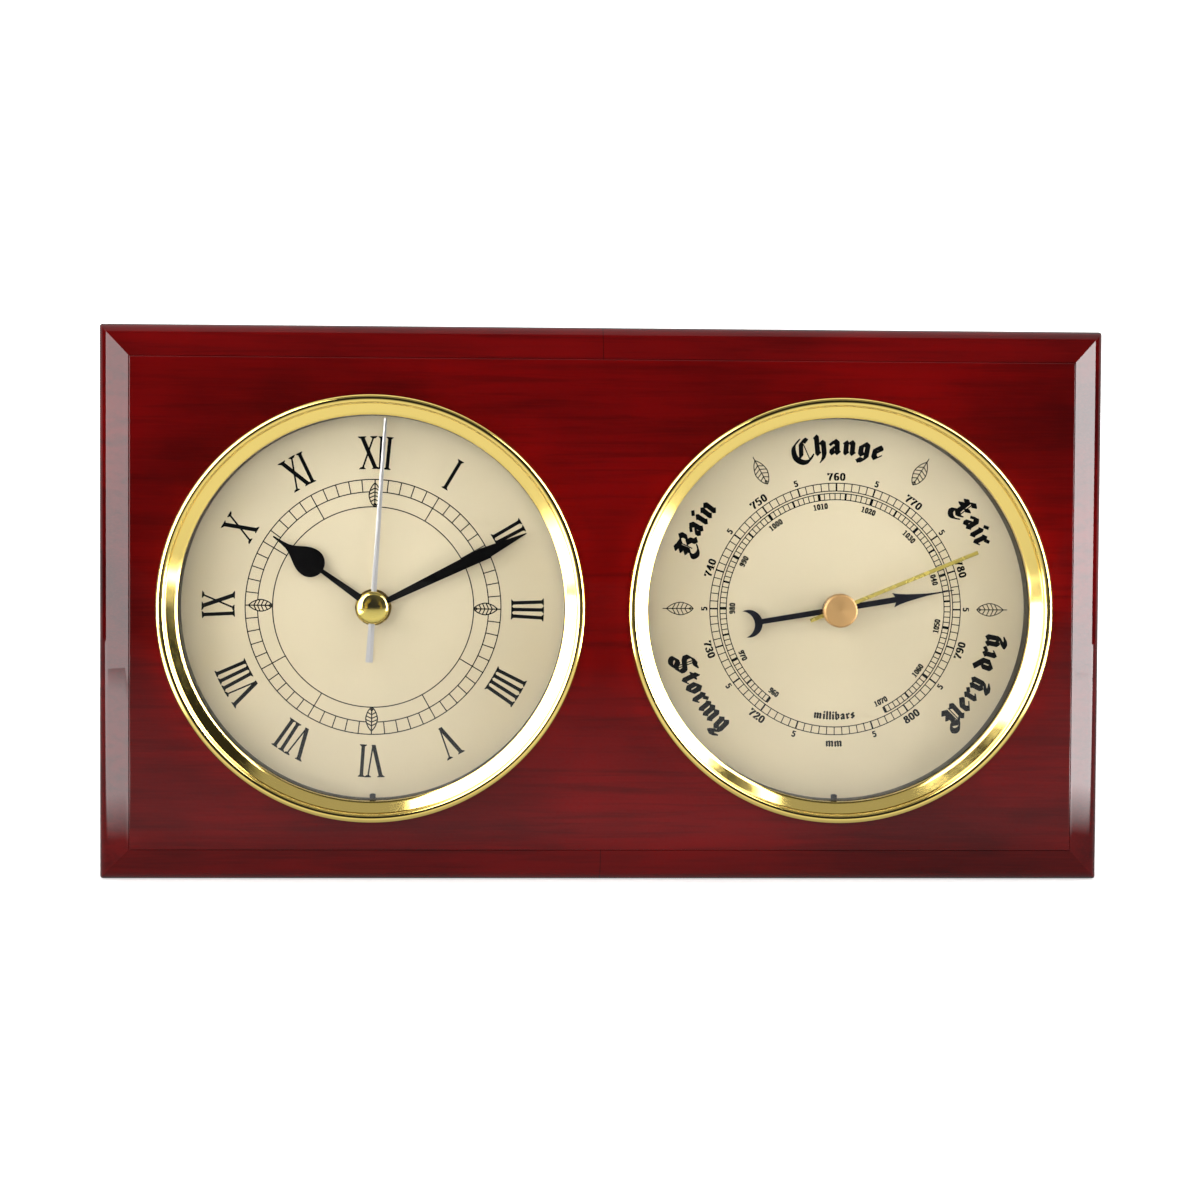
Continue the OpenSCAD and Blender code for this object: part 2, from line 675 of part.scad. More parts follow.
module rotor() {
    magnet_h = stator_h + stator_t / 2 - magnet_t / 2;
    color("darkslategray") at_movement() translate(concat(rotor_at, 0)) {
        bar(arbor_r, movement_wall - pivot_h + slip, bridge_h + bridge_t);
        gear(rotor_teeth, train_module, rotor_turn, intermediate_h - pinion_lap,
            intermediate_h + wheel_t + pinion_lap);
        bar(magnet_r, magnet_h, magnet_h + magnet_t);
    }
}
module intermediate_wheel() {
    color("ivory") at_movement() translate(concat(intermediate_at, 0)) {
        bar(arbor_r, movement_wall - pivot_h + slip, bridge_h + bridge_t);
        gear(intermediate_teeth, train_module, intermediate_turn, intermediate_h,
            intermediate_h + wheel_t);
        gear(intermediate_pinion_teeth, train_module, intermediate_turn,
            intermediate_h + wheel_t, seconds_h + wheel_t + pinion_lap);
    }
}
module seconds_wheel() {
    color("ivory") at_movement() {
        bar(lower_arbor_r, movement_wall - pivot_h + slip, third_h + wheel_t + pinion_lap);
        bar(seconds_arbor_r, third_h + wheel_t + pinion_lap, seconds_top_h);
        gear(seconds_teeth, train_module, seconds_turn, seconds_h, seconds_h + wheel_t);
        gear(seconds_pinion_teeth, train_module, seconds_turn, seconds_h + wheel_t,
            third_h + wheel_t + pinion_lap);
    }
}
module third_wheel() {
    color("ivory") at_movement() translate(concat(third_at, 0)) {
        bar(arbor_r, movement_wall - pivot_h + slip, bridge_h + bridge_t);
        gear(third_teeth, train_module, third_turn, third_h, third_h + wheel_t);
        gear(third_pinion_teeth, centre_module, third_turn, third_h + wheel_t,
            centre_h + wheel_t + pinion_lap);
    }
}
module centre_wheel() {
    color("ivory") at_movement() difference() {
        gear(centre_teeth, centre_module, centre_turn, centre_h, centre_h + wheel_t);
        bar(minute_pipe_r + run, centre_h - cut, centre_h + wheel_t + cut);
    }
}
// Minute pipe: cannon pinion, hand seat, and the two collars of the slip clutch
collar_w = 0.6;
collar_t = 0.3;
minute_foot_h = centre_h - seat_gap - collar_t;
module minute_pipe() {
    color("silver") at_movement() difference() {
        union() {
            bar(minute_pipe_r, minute_foot_h, minute_hand_h + hand_t);
            bar(minute_pipe_r + collar_w, minute_foot_h, minute_foot_h + collar_t);
            bar(minute_pipe_r + collar_w, centre_h + wheel_t + slip,
                centre_h + wheel_t + slip + collar_t);
            gear(cannon_teeth, motion_module, cannon_turn, bridge_h + bridge_t + slip,
                minute_wheel_h + wheel_t + pinion_lap);
        }
        bar(seconds_arbor_r + run, minute_foot_h - cut, minute_hand_h + hand_t + cut);
    }
}
module minute_wheel() {
    color("ivory") at_movement() translate(concat(minute_at, 0)) {
        bar(arbor_r, bridge_h, front_wall_h + pivot_h - slip);
        gear(minute_wheel_teeth, motion_module, minute_turn, minute_wheel_h,
            minute_wheel_h + wheel_t);
        gear(minute_pinion_teeth, motion_module, minute_turn, minute_wheel_h + wheel_t,
            hour_wheel_h + wheel_t + pinion_lap);
    }
}
module hour_wheel() {
    color("ivory") at_movement() difference() {
        union() {
            gear(hour_teeth, motion_module, hour_turn, hour_wheel_h, hour_wheel_h + wheel_t);
            bar(hour_pipe_r, hour_wheel_h, hour_hand_h + hand_t);
        }
        bar(minute_pipe_r + run, hour_wheel_h - cut, hour_hand_h + hand_t + cut);
    }
}
knob_gap = 0.3;
setting_knob_r = 4;
setting_knob_t = 1.8;
knob_flutes = 12;
flute_r = 0.6;
module setting_knob() {
    color("#202124") at_movement() translate(concat(setting_at, 0)) {
        bar(setting_arbor_r, -knob_gap, minute_wheel_h + wheel_t + pinion_lap);
        gear(setting_teeth, motion_module, setting_turn, minute_wheel_h - pinion_lap / 2,
            minute_wheel_h + wheel_t + pinion_lap);
        difference() {
            bar(setting_knob_r, -knob_gap - setting_knob_t, -knob_gap);
            for (i = [0 : knob_flutes - 1]) rotate(i * 360 / knob_flutes)
                translate([setting_knob_r, 0, 0])
                    bar(flute_r, -knob_gap - setting_knob_t - cut, -knob_gap + cut, $fn = 16);
        }
    }
}

// Clock hands, drawn towards twelve and turned to the time they show

hour_hand_gap = 0.5;
minute_hand_rise = 1;
seconds_hand_rise = 0.9;
hour_hand_h = nut_top_h + hour_hand_gap;
minute_hand_h = hour_hand_h + minute_hand_rise;
seconds_hand_h = minute_hand_h + seconds_hand_rise;
seconds_top_h = seconds_hand_h + hand_t;
hour_hub_r = 4.9;
minute_hub_r = 4.4;
seconds_hub_r = 2.9;
// Shown time, in degrees from twelve: ten o'clock and what the minute hand has gone since
minute_angle = 63.9;
seconds_angle = 3.72;
ten_angle = 300;
hour_angle = ten_angle + minute_angle / 12;
module hand_plate(at_h, angle) {
    at_movement() rotate(-angle) translate([0, 0, at_h]) linear_extrude(hand_t) children();
}
// Half outline mirrored about the hand's own axis: points are [half width, distance]
function both_sides(half) = concat(half, [for (i = [len(half) - 1 : -1 : 0]) [-half[i][0], half[i][1]]]);

// Spade: half widths as shares of its round base, places as shares of the hand's reach
spade_foot_w = 1.25;
spade_stem_w = 0.68;
spade_r = 4.5;
spade_centre_share = 0.63;
spade_shares = [[1, 0.63], [0.98, 0.66], [0.9, 0.695], [0.74, 0.735], [0.53, 0.775],
    [0.33, 0.815], [0.18, 0.86], [0.1, 0.92], [0.05, 1]];
module hour_hand() {
    color("black") hand_plate(hour_hand_h, hour_angle) difference() {
        union() {
            circle(r = hour_hub_r);
            polygon(both_sides(concat([[spade_foot_w, 0],
                [spade_stem_w, hour_reach * spade_centre_share - spade_r]],
                [[spade_stem_w, hour_reach * spade_centre_share]],
                [for (s = spade_shares) [spade_r * s[0], hour_reach * s[1]]])));
            translate([0, hour_reach * spade_centre_share]) circle(r = spade_r);
        }
        circle(r = hour_pipe_r);
    }
}
// Lance: narrow at the hub, widest at the shoulder, then a long point
lance_foot_w = 0.85;
lance_wide_w = 1.95;
lance_shares = [[0.96, 0.69], [1, 0.715], [0.92, 0.745], [0.55, 0.86], [0.08, 1]];
module minute_hand() {
    color("black") hand_plate(minute_hand_h, minute_angle) difference() {
        union() {
            circle(r = minute_hub_r);
            polygon(both_sides(concat([[lance_foot_w, 0], [lance_foot_w, minute_hub_r]],
                [for (s = lance_shares) [lance_wide_w * s[0], minute_reach * s[1]]])));
        }
        circle(r = minute_pipe_r);
    }
}
seconds_wide_w = 0.87;
seconds_tip_w = 0.45;
seconds_tail_w = 1.1;
module seconds_hand() {
    color("silver") hand_plate(seconds_hand_h, seconds_angle) difference() {
        union() {
            circle(r = seconds_hub_r);
            polygon(both_sides([[seconds_tail_w, -seconds_tail], [seconds_wide_w, 0],
                [seconds_tip_w, seconds_reach]]));
        }
        circle(r = seconds_arbor_r);
    }
}
// Domed cap over the seconds hand's collet
cap_rise = 2.1;
cap_h = min(cap_rise, glass_z0 - movement_z0 - seconds_top_h - knob_gap);
cap_skirt = 0.5;
module cap_dome(r, h, skirt) {
    ball = (r * r + (h - skirt) * (h - skirt)) / (2 * (h - skirt));
    intersection() {
        translate([0, 0, h - ball]) sphere(r = ball);
        cylinder(r = r, h = h);
    }
}
module hand_cap() {
    color("gold") at_movement() translate([0, 0, seconds_top_h]) cap_dome(cap_r, cap_h, cap_skirt);
}

// Aneroid barometer: the base plate stands on the case's floor

base_z0 = case_floor_z + case_wall;
base_t = 1;
base_z1 = base_z0 + base_t;
plate_x = -12;
plate_y = -4;
base_r = 34;
capsule_x = -26;
capsule_y = -14;
capsule_foot_t = 0.8;
capsule_foot_r = 4;
capsule_z0 = base_z1 + capsule_foot_t;
capsule_z1 = capsule_z0 + capsule_t;
capsule_post_r = 1.6;
capsule_post_h = 0.8;
post_z = capsule_z1 + capsule_post_h;
regulator_hole_r = 3;
small_screw_r = 0.9;
case_screw_inset = 3.5;
case_screw_ring = base_r - case_screw_inset;
case_screw_angles = [45, 130, 330];
sector_gap = 1.5;
sector_z = post_z + sector_gap;
sector_t = 0.8;
sector_room = 0.8;
baro_bridge_z0 = sector_z + sector_t + sector_room;
baro_bridge_t = 0.8;
baro_bridge_z1 = baro_bridge_z0 + baro_bridge_t;
baro_bridge_x = -4;
baro_bridge_y = 3;
baro_bridge_r = 20;
pillar_r = 1.6;
pillar_inset = 2.5;
pillar_ring = baro_bridge_r - pillar_inset;
pillar_angles = [20, 140, 260];
sector_teeth = 84;
pointer_teeth = 12;
sector_dir = 150;
sector_at = polar(mesh_distance(sector_teeth, pointer_teeth, sector_module), sector_dir);
sector_first = -10;
sector_last = 1;
sector_turn = sector_dir + 180 + 180 / sector_teeth;
pointer_turn = mesh_turn(sector_turn, sector_dir + 180, sector_teeth, pointer_teeth);
sector_arbor_r = 0.6;

module pillar_places() {
    translate([baro_bridge_x, baro_bridge_y, 0]) for (a = pillar_angles)
        translate(concat(polar(pillar_ring, a), 0)) children();
}
module base_plate() {
    color("darkkhaki") at_baro() difference() {
        translate([plate_x, plate_y, 0]) bar(base_r, base_z0, base_z1);
        bar(pointer_arbor_r + run, base_z0 - cut, base_z1 + cut);
        translate(concat(sector_at, 0)) bar(sector_arbor_r + run, base_z0 - cut, base_z1 + cut);
        translate([capsule_x, capsule_y, 0]) bar(capsule_screw_r + run, base_z0 - cut, base_z1 + cut);
        for (a = case_screw_angles) translate([plate_x, plate_y, 0])
            translate(concat(polar(case_screw_ring, a), 0))
                bar(small_screw_r + touch_gap, base_z0 - cut, base_z1 + cut);
    }
}
small_head_r = 1.8;
small_head_t = 0.9;
module case_screws() {
    color("silver") at_baro() translate([plate_x, plate_y, 0]) for (a = case_screw_angles)
        translate(concat(polar(case_screw_ring, a), 0)) {
            bar(small_screw_r, case_floor_z, base_z1);
            bar(small_head_r, case_floor_z - small_head_t, case_floor_z);
        }
}
// Two corrugated diaphragms joined at the rim, with the foot that the regulating screw bears on
capsule_waves = 4;
wave_h = 0.35;
capsule_wave_steps = 8;
capsule_flat_w = 0.5;
module aneroid_capsule() {
    rim_r = capsule_r;
    flat_r = capsule_foot_r + capsule_flat_w;
    n = capsule_waves * capsule_wave_steps;
    mid = (capsule_z0 + capsule_z1) / 2;
    upper = [for (i = [0 : n]) let (r = flat_r + (rim_r - 2 * wave_h - flat_r) * i / n)
        [r, capsule_z1 - wave_h * (1 - cos(i * 360 / capsule_wave_steps))]];
    lower = [for (i = [n : -1 : 0]) [upper[i][0], 2 * mid - upper[i][1]]];
    color("goldenrod") at_baro() translate([capsule_x, capsule_y, 0]) {
        difference() {
            union() {
                rotate_extrude() polygon(concat([[0, capsule_z1]], upper,
                    [[rim_r, mid + wave_h], [rim_r, mid - wave_h]], lower, [[0, capsule_z0]]));
                bar(capsule_foot_r, base_z1, capsule_z0 + wave_h);
                bar(capsule_post_r, capsule_z1 - wave_h, post_z);
            }
            bar(capsule_screw_r + run, base_z1 - cut, base_z1 + capsule_foot_t);
        }
    }
}
// Regulating screw, turned from behind through the hole in the case
capsule_screw_r = 1.5;
regulator_head_r = 2.6;
regulator_head_t = 1;
driver_slot_w = 0.6;
driver_slot_h = 0.5;
module capsule_screw() {
    head_z = case_floor_z - knob_gap;
    color("goldenrod") at_baro() translate([capsule_x, capsule_y, 0]) difference() {
        union() {
            bar(capsule_screw_r, head_z, base_z1 + capsule_foot_t - slip);
            bar(regulator_head_r, head_z - regulator_head_t, base_z0 - slip);
        }
        translate([-regulator_head_r - cut, -driver_slot_w / 2, head_z - regulator_head_t - cut])
            cube([2 * (regulator_head_r + cut), driver_slot_w, driver_slot_h + cut]);
    }
}
module bridge_pillars() {
    color("goldenrod") at_baro() pillar_places() bar(pillar_r, base_z1, baro_bridge_z0);
}
bridge_window_r = 7;
bridge_window_angles = [75, 200, 315];
module baro_bridge() {
    color("darkkhaki") at_baro() difference() {
        translate([baro_bridge_x, baro_bridge_y, 0])
            bar(baro_bridge_r, baro_bridge_z0, baro_bridge_z1);
        for (a = bridge_window_angles) translate([baro_bridge_x, baro_bridge_y, 0])
            translate(concat(polar(baro_bridge_r - bridge_window_r / 2, a), 0))
                bar(bridge_window_r, baro_bridge_z0 - cut, baro_bridge_z1 + cut);
        bar(pointer_arbor_r + run, baro_bridge_z0 - cut, baro_bridge_z1 + cut);
        translate(concat(sector_at, 0))
            bar(sector_arbor_r + run, baro_bridge_z0 - cut, baro_bridge_z1 + cut);
    }
}
module bridge_screws() {
    color("silver") at_baro() pillar_places()
        cap_at(baro_bridge_z1, small_head_r, small_head_t);
}
module cap_at(z, r, t) { translate([0, 0, z]) cap_dome(r, t, t / 2); }

// Rocker: its long arm lies over the capsule's post, and its short arm stands behind the sector
rocker_r = 0.7;
rocker_clear = 2.5;
rocker_rise = 2.8;
rocker_back = 8;
finger_over = 0.15;
rocker_y = capsule_y + capsule_r + rocker_clear;
rocker_z = base_z1 + rocker_rise;
rocker_x0 = capsule_x - rocker_back;
rocker_x1 = sector_at[0] + finger_over;
bracket_t = 1.2;
bracket_w = 4;
bracket_inset = 4.2;
bracket_x = [rocker_x0 + bracket_t, rocker_x1 - bracket_inset];
rocker_arm_w = 2.4;
rocker_arm_t = 0.6;
rocker_arm_gap = 0.5;
rocker_arm_z = post_z + rocker_arm_gap;
finger_w = 1;
finger_gap = 0.5;
finger_top_z = sector_z - finger_gap;
module rocker_brackets() {
    color("goldenrod") at_baro() for (x = bracket_x) difference() {
        translate([x - bracket_t / 2, rocker_y - bracket_w / 2, base_z1])
            cube([bracket_t, bracket_w, rocker_z + bracket_w / 2 - base_z1]);
        translate([x, rocker_y, rocker_z]) rotate([0, 90, 0])
            cylinder(r = rocker_r + run, h = bracket_t + 2 * cut, center = true);
    }
}
module rocker() {
    color("silver") at_baro() {
        translate([rocker_x0, rocker_y, rocker_z]) rotate([0, 90, 0])
            cylinder(r = rocker_r, h = rocker_x1 - rocker_x0);
        translate([capsule_x - rocker_arm_w / 2, rocker_y - rocker_r, rocker_z])
            cube([rocker_arm_w, 2 * rocker_r, rocker_arm_z + rocker_arm_t - rocker_z]);
        translate([capsule_x - rocker_arm_w / 2, capsule_y - rocker_arm_w / 2, rocker_arm_z])
            cube([rocker_arm_w, rocker_y - capsule_y + rocker_arm_w / 2, rocker_arm_t]);
        translate([rocker_x1 - finger_w, rocker_y - finger_w / 2, rocker_z])
            cube([finger_w, finger_w, finger_top_z - rocker_z]);
    }
}
// Sector: a toothed arc on a plate cut away between its edges, with the crank pin on its hub
sector_hub_r = 2.5;
sector_rim_w = 2.4;
sector_cut_r = 5;
sector_cut_steps = 8;
sector_arm_angle = 6;
crank_pin_r = 0.4;
crank_pin_len = 1.5;
crank_pin_ring = 2.2;
crank_pin_dir = -98;
module sector_gear() {
    pitch = 360 / sector_teeth;
    a0 = sector_turn + (sector_first - 0.5) * pitch + sector_arm_angle;
    a1 = sector_turn + (sector_last + 0.5) * pitch - sector_arm_angle;
    root_r = pitch_r(sector_teeth, sector_module) + sector_module * tooth_shares[0][1];
    color("goldenrod") at_baro() translate(concat(sector_at, 0)) {
        bar(sector_arbor_r, base_z0 + slip, baro_bridge_z1);
        bar(sector_hub_r, sector_z, sector_z + sector_t);
        translate(concat(polar(crank_pin_ring, crank_pin_dir), 0))
            bar(crank_pin_r, sector_z - crank_pin_len, sector_z + sector_t);
        translate([0, 0, sector_z]) linear_extrude(sector_t) difference() {
            polygon(concat([[0, 0]],
                tooth_ring(sector_teeth, sector_module, sector_turn + 360, sector_first + sector_teeth,
                    sector_last + sector_teeth)));
            polygon(concat([polar(sector_cut_r, (a0 + a1) / 2)],
                [for (i = [0 : sector_cut_steps])
                    polar(root_r - sector_rim_w, a0 + (a1 - a0) * i / sector_cut_steps)]));
        }
    }
}
pinion_over = 0.5;
collet_r = 1.2;
spring_rise = 3.9;
spring_z = base_z1 + spring_rise;
spring_h = 0.5;
arbor_over = 0.3;
module pointer_pinion() {
    color("silver") at_baro() {
        bar(pointer_arbor_r, base_z0 + slip, indicator_z + boss_t + arbor_over);
        gear(pointer_teeth, sector_module, pointer_turn, sector_z - pinion_over,
            sector_z + sector_t + pinion_over);
        bar(collet_r, spring_z - pinion_over, spring_z + spring_h + pinion_over);
    }
}
// Flat spiral that keeps the sector's slack taken up
spring_turns = 4;
spring_t = 0.16;
spring_in_r = collet_r + seat_gap;
spring_out_r = 6;
spring_steps = 22;
module hairspring() {
    n = spring_turns * spring_steps;
    function at(i, side) = polar(spring_in_r + (spring_out_r - spring_in_r) * i / n + side * spring_t / 2,
        i * 360 / spring_steps);
    color("steelblue") at_baro(spring_z) linear_extrude(spring_h)
        polygon(concat([for (i = [0 : n]) at(i, 1)], [for (i = [n : -1 : 0]) at(i, -1)]));
}
stud_r = 0.6;
module hairspring_stud() {
    color("goldenrod") at_baro()
        translate([spring_out_r + spring_t / 2 + stud_r + touch_gap, 0, 0])
            bar(stud_r, spring_z, baro_bridge_z0);
}

// Barometer hands

indicator_angle = 80.5;
set_angle = 67.6;
indicator_rise = 2;
indicator_z = dial_z1 + indicator_rise;
boss_r = 4.3;
boss_t = 1;
stem_w = 0.9;
arrow_w = 2.25;
arrow_foot_share = 0.505;
needle_shares = [[1, 0.485], [0.76, 0.53], [0.52, 0.6], [0.32, 0.69], [0.17, 0.77],
    [0.1, 0.87], [0.06, 1]];
crescent_ring = 27.5;
crescent_stem_w = 0.8;
crescent_lap = 3;
crescent_r = 4.3;
crescent_bite = 2.3;
crescent_bite_r = 4.2;
module indicator_hand() {
    color("#12161c") at_baro() rotate(-indicator_angle) {
        tube(boss_r, pointer_arbor_r, indicator_z, indicator_z + boss_t);
        translate([0, 0, indicator_z]) linear_extrude(hand_t) difference() {
            union() {
                polygon(both_sides(concat([[stem_w, 0], [stem_w, indicator_reach * arrow_foot_share]],
                    [for (s = needle_shares) [arrow_w * s[0], indicator_reach * s[1]]])));
                polygon(both_sides([[stem_w, 0], [crescent_stem_w, crescent_lap - crescent_ring]]));
                difference() {
                    translate([0, -crescent_ring]) circle(r = crescent_r);
                    translate([0, -crescent_ring - crescent_bite]) circle(r = crescent_bite_r);
                }
            }
            circle(r = pointer_arbor_r);
        }
    }
}
set_hand_drop = 1.6;
set_hand_z = glass_z0 - set_hand_drop;
set_collar_r = 2.4;
set_tail = 9;
module set_hand() {
    color("gold") at_baro() rotate(-set_angle) difference() {
        union() {
            translate([-set_hand_w / 2, -set_tail, set_hand_z])
                cube([set_hand_w, set_reach + set_tail, hand_t]);
            bar(set_collar_r, set_hand_z, glass_z0 - knob_gap);
        }
        bar(set_shaft_r, set_hand_z - cut, glass_z0);
    }
}
set_knob_rise = 6.2;
knob_chamfer = 0.6;
knob_cone = 0.7;
knob_neck_r = 2.6;
set_flutes = 36;
set_flute_r = 0.22;
module set_knob() {
    z0 = glass_z1 + knob_gap;
    z1 = z0 + set_knob_rise;
    color("gold") at_baro() {
        bar(set_shaft_r, set_hand_z, z1 - knob_cone);
        difference() {
            rotate_extrude() polygon([[0, z0], [knob_neck_r, z0], [knob_neck_r, z0 + knob_cone],
                [set_knob_r, z0 + 2 * knob_cone], [set_knob_r, z1 - knob_cone - knob_chamfer],
                [set_knob_r - knob_chamfer, z1 - knob_cone], [0, z1]]);
            for (i = [0 : set_flutes - 1]) rotate(i * 360 / set_flutes) translate([set_knob_r, 0, 0])
                bar(set_flute_r, z0, z1, $fn = 16);
        }
    }
}

board();
hanger_plates();
hanger_screws();
clock_bezel();
clock_lens();
clock_spacer();
clock_dial();
clock_case();
clock_clips();
movement_front();
movement_back();
train_bridge();
bush_washer();
bush_nut();
stator();
coil();
circuit_board();
battery();
battery_contacts();
rotor();
intermediate_wheel();
seconds_wheel();
third_wheel();
centre_wheel();
minute_pipe();
minute_wheel();
hour_wheel();
setting_knob();
hour_hand();
minute_hand();
seconds_hand();
hand_cap();
baro_bezel();
baro_lens();
baro_spacer();
baro_dial();
baro_case();
baro_clips();
base_plate();
case_screws();
aneroid_capsule();
capsule_screw();
bridge_pillars();
baro_bridge();
bridge_screws();
rocker_brackets();
rocker();
sector_gear();
pointer_pinion();
hairspring();
hairspring_stud();
indicator_hand();
set_hand();
set_knob();
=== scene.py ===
# Looks of the barometer wall clock: lacquered board, two brass bezels, satin dials with their
# print, and studio light. The part is drawn face on in millimetres, its heights counted from the
# wall, and at() turns that into the row's metres. Materials and the stage are in metres.
import math
import bpy
from mathutils import Matrix, Vector
from mathutils.geometry import delaunay_2d_cdt


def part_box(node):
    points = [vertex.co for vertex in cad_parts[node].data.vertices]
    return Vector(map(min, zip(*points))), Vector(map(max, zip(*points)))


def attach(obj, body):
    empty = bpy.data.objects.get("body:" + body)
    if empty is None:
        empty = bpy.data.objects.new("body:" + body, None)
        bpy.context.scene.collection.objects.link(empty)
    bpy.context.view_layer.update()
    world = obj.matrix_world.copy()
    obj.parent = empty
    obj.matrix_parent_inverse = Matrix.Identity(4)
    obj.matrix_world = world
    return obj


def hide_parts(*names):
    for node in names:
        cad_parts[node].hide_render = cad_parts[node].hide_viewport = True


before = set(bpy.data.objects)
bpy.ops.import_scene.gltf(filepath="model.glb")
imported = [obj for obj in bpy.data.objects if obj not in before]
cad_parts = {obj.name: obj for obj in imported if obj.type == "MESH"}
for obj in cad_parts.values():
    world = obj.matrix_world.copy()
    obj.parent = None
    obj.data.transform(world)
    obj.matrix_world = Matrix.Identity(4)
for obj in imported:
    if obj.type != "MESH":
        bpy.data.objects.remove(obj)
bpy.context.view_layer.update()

MM = 0.001

# Places in millimetres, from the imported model

def span(node):
    """Lowest and highest corner of a CAD node, in millimetres."""
    low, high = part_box(node)
    return low / MM, high / MM

def centre_of(node):
    low, high = span(node)
    return (low.x + high.x) / 2, (low.z + high.z) / 2

BOARD_LOW, BOARD_HIGH = span("board")
BOARD_W, BOARD_H = BOARD_HIGH.x - BOARD_LOW.x, BOARD_HIGH.z - BOARD_LOW.z
BOARD_T = -BOARD_LOW.y
CLOCK = centre_of("clock_bezel")
BARO = centre_of("baro_bezel")
BEZEL_R = (span("clock_bezel")[1].x - span("clock_bezel")[0].x) / 2
CROWN_Z = -span("clock_bezel")[0].y
DIAL_Z = -span("clock_dial")[0].y
GLASS_TOP_Z = -span("clock_lens")[0].y

# The board's moulding
BORDER_MM = 10.3
EDGE_R_MM = 7
CORNER_R_MM, CORNER_LEAST_MM = 1, 0.02
BEVEL_DEG = 32
STEP_MM = 0.6
GROOVE_W_MM = 0.3
GROOVE_DEEP_MM = 1.0
LIP_ROUND_MM = 0.35
BACK_EDGE_MM = 0.4

# Bores of the cases, and keyhole plates let into the back
BORE_PLAY_MM = 1.0
PLATE_HALF_W_MM = 8
PLATE_PLAY_MM = 0.1
ENTRY_R_MM, ENTRY_DROP_MM = 6.1, 5
SLOT_HALF_W_MM, SLOT_RISE_MM = 3.8, 5.5
POCKET_DEEP_MM = 8
SCREW_R_MM, SCREW_DEEP_MM, SCREW_FROM_END_MM = 1.32, 13, 7
PAST_MM = 1  # how far a cutter stands past the board

# Steps of round stretches, and the angles below which edges are shaded round
BEZEL_STEPS, CAP_STEPS, HUB_STEPS = 360, 96, 40
BORE_STEPS, HOLE_STEPS, SCREW_STEPS = 192, 48, 24
RING_STEPS, CURVE_STEPS = 240, 5
TURNED_SMOOTH_DEG, BOARD_SMOOTH_DEG = 40, 20


# Meshes

def polar(r, degrees):
    """Point at r from the centre, degrees clockwise from 12 o'clock."""
    a = math.radians(degrees)
    return r * math.sin(a), r * math.cos(a)

def at(centre, x, y, z):
    """Row point, in metres, of a point drawn face on at z millimetres from the wall."""
    return Vector(((centre[0] + x) * MM, -z * MM, (centre[1] + y) * MM))

def piece(name, verts, faces, materials, body="case", replaces=(), smooth=None,
          marks=None):
    """A mesh object on a CAD body. Edges flatter than smooth degrees are shaded round, and marks
    are the faces' material numbers."""
    mesh = bpy.data.meshes.new(name)
    mesh.from_pydata(verts, [], faces)
    for m in materials:
        mesh.materials.append(m)
    if marks:
        mesh.polygons.foreach_set("material_index", marks)
    obj = bpy.data.objects.new(name, mesh)
    bpy.context.scene.collection.objects.link(obj)
    if smooth is not None:
        mesh.shade_smooth()
        mesh.set_sharp_from_angle(angle=math.radians(smooth))
    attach(obj, body)
    if replaces:
        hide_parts(*replaces)
    return obj

def lathe(profile, centre, steps, closed=True):
    """Vertices and faces of a profile of (r, z) turned about a dial's axis."""
    verts, faces, n = [], [], len(profile)
    for i in range(steps):
        c, s = math.cos(2 * math.pi * i / steps), math.sin(2 * math.pi * i / steps)
        verts += [at(centre, r * c, r * s, z) for r, z in profile]
    for i in range(steps):
        a, b = i * n, (i + 1) % steps * n
        for j in range(n if closed else n - 1):
            k = (j + 1) % n
            faces.append((a + j, a + k, b + k, b + j))
    return verts, faces

def arc(cx, cy, r, first, last, steps):
    """Points of an arc, angles in degrees from the x axis."""
    return [(cx + r * math.cos(math.radians(first + (last - first) * i / steps)),
             cy + r * math.sin(math.radians(first + (last - first) * i / steps)))
            for i in range(steps + 1)]

def straight(a, b, steps):
    """Points from a to b in even steps."""
    return [(a[0] + (b[0] - a[0]) * i / steps, a[1] + (b[1] - a[1]) * i / steps)
            for i in range(steps + 1)]

def turned(x, y, a):
    """A point turned anticlockwise by a, in radians."""
    return x * math.cos(a) - y * math.sin(a), x * math.sin(a) + y * math.cos(a)


# Node materials

def shader(name, **sockets):
    """A new material; returns it with its node tree and its Principled node, constants set."""
    m = bpy.data.materials.new(name)
    m.use_nodes = True
    p = m.node_tree.nodes["Principled BSDF"]
    for key, value in sockets.items():
        p.inputs[key.replace("_", " ")].default_value = value
    return m, m.node_tree, p

def add(tree, kind, links=(), **settings):
    """Adds a node, sets its properties or input values, and links its inputs from given sockets."""
    node = tree.nodes.new("ShaderNode" + kind)
    for key, value in settings.items():
        if hasattr(node, key):
            setattr(node, key, value)
        else:
            node.inputs[key.replace("_", " ")].default_value = value
    for key, source in links:
        tree.links.new(source, node.inputs[key])
    return node

def place(tree, scale=(1, 1, 1), location=(0, 0, 0)):
    """Object coordinates, scaled and moved: every piece's origin is the row's, so textures lie
    still."""
    coordinate = add(tree, "TexCoord")
    mapping = add(tree, "Mapping", [("Vector", coordinate.outputs["Object"])])
    mapping.inputs["Scale"].default_value = scale
    mapping.inputs["Location"].default_value = location
    return mapping.outputs["Vector"]

def noise(tree, vector, scale, detail=3, roughness=0.5, distortion=0):
    n = add(tree, "TexNoise", [("Vector", vector)])
    for key, value in (("Scale", scale), ("Detail", detail), ("Roughness", roughness),
                       ("Distortion", distortion)):
        n.inputs[key].default_value = value
    return n.outputs["Fac"]

def spread(tree, source, low, high, to_low, to_high):
    """Maps a value's range onto another, clamped."""
    n = add(tree, "MapRange", [("Value", source)])
    for key, value in (("From Min", low), ("From Max", high), ("To Min", to_low),
                       ("To Max", to_high)):
        n.inputs[key].default_value = value
    return n.outputs["Result"]

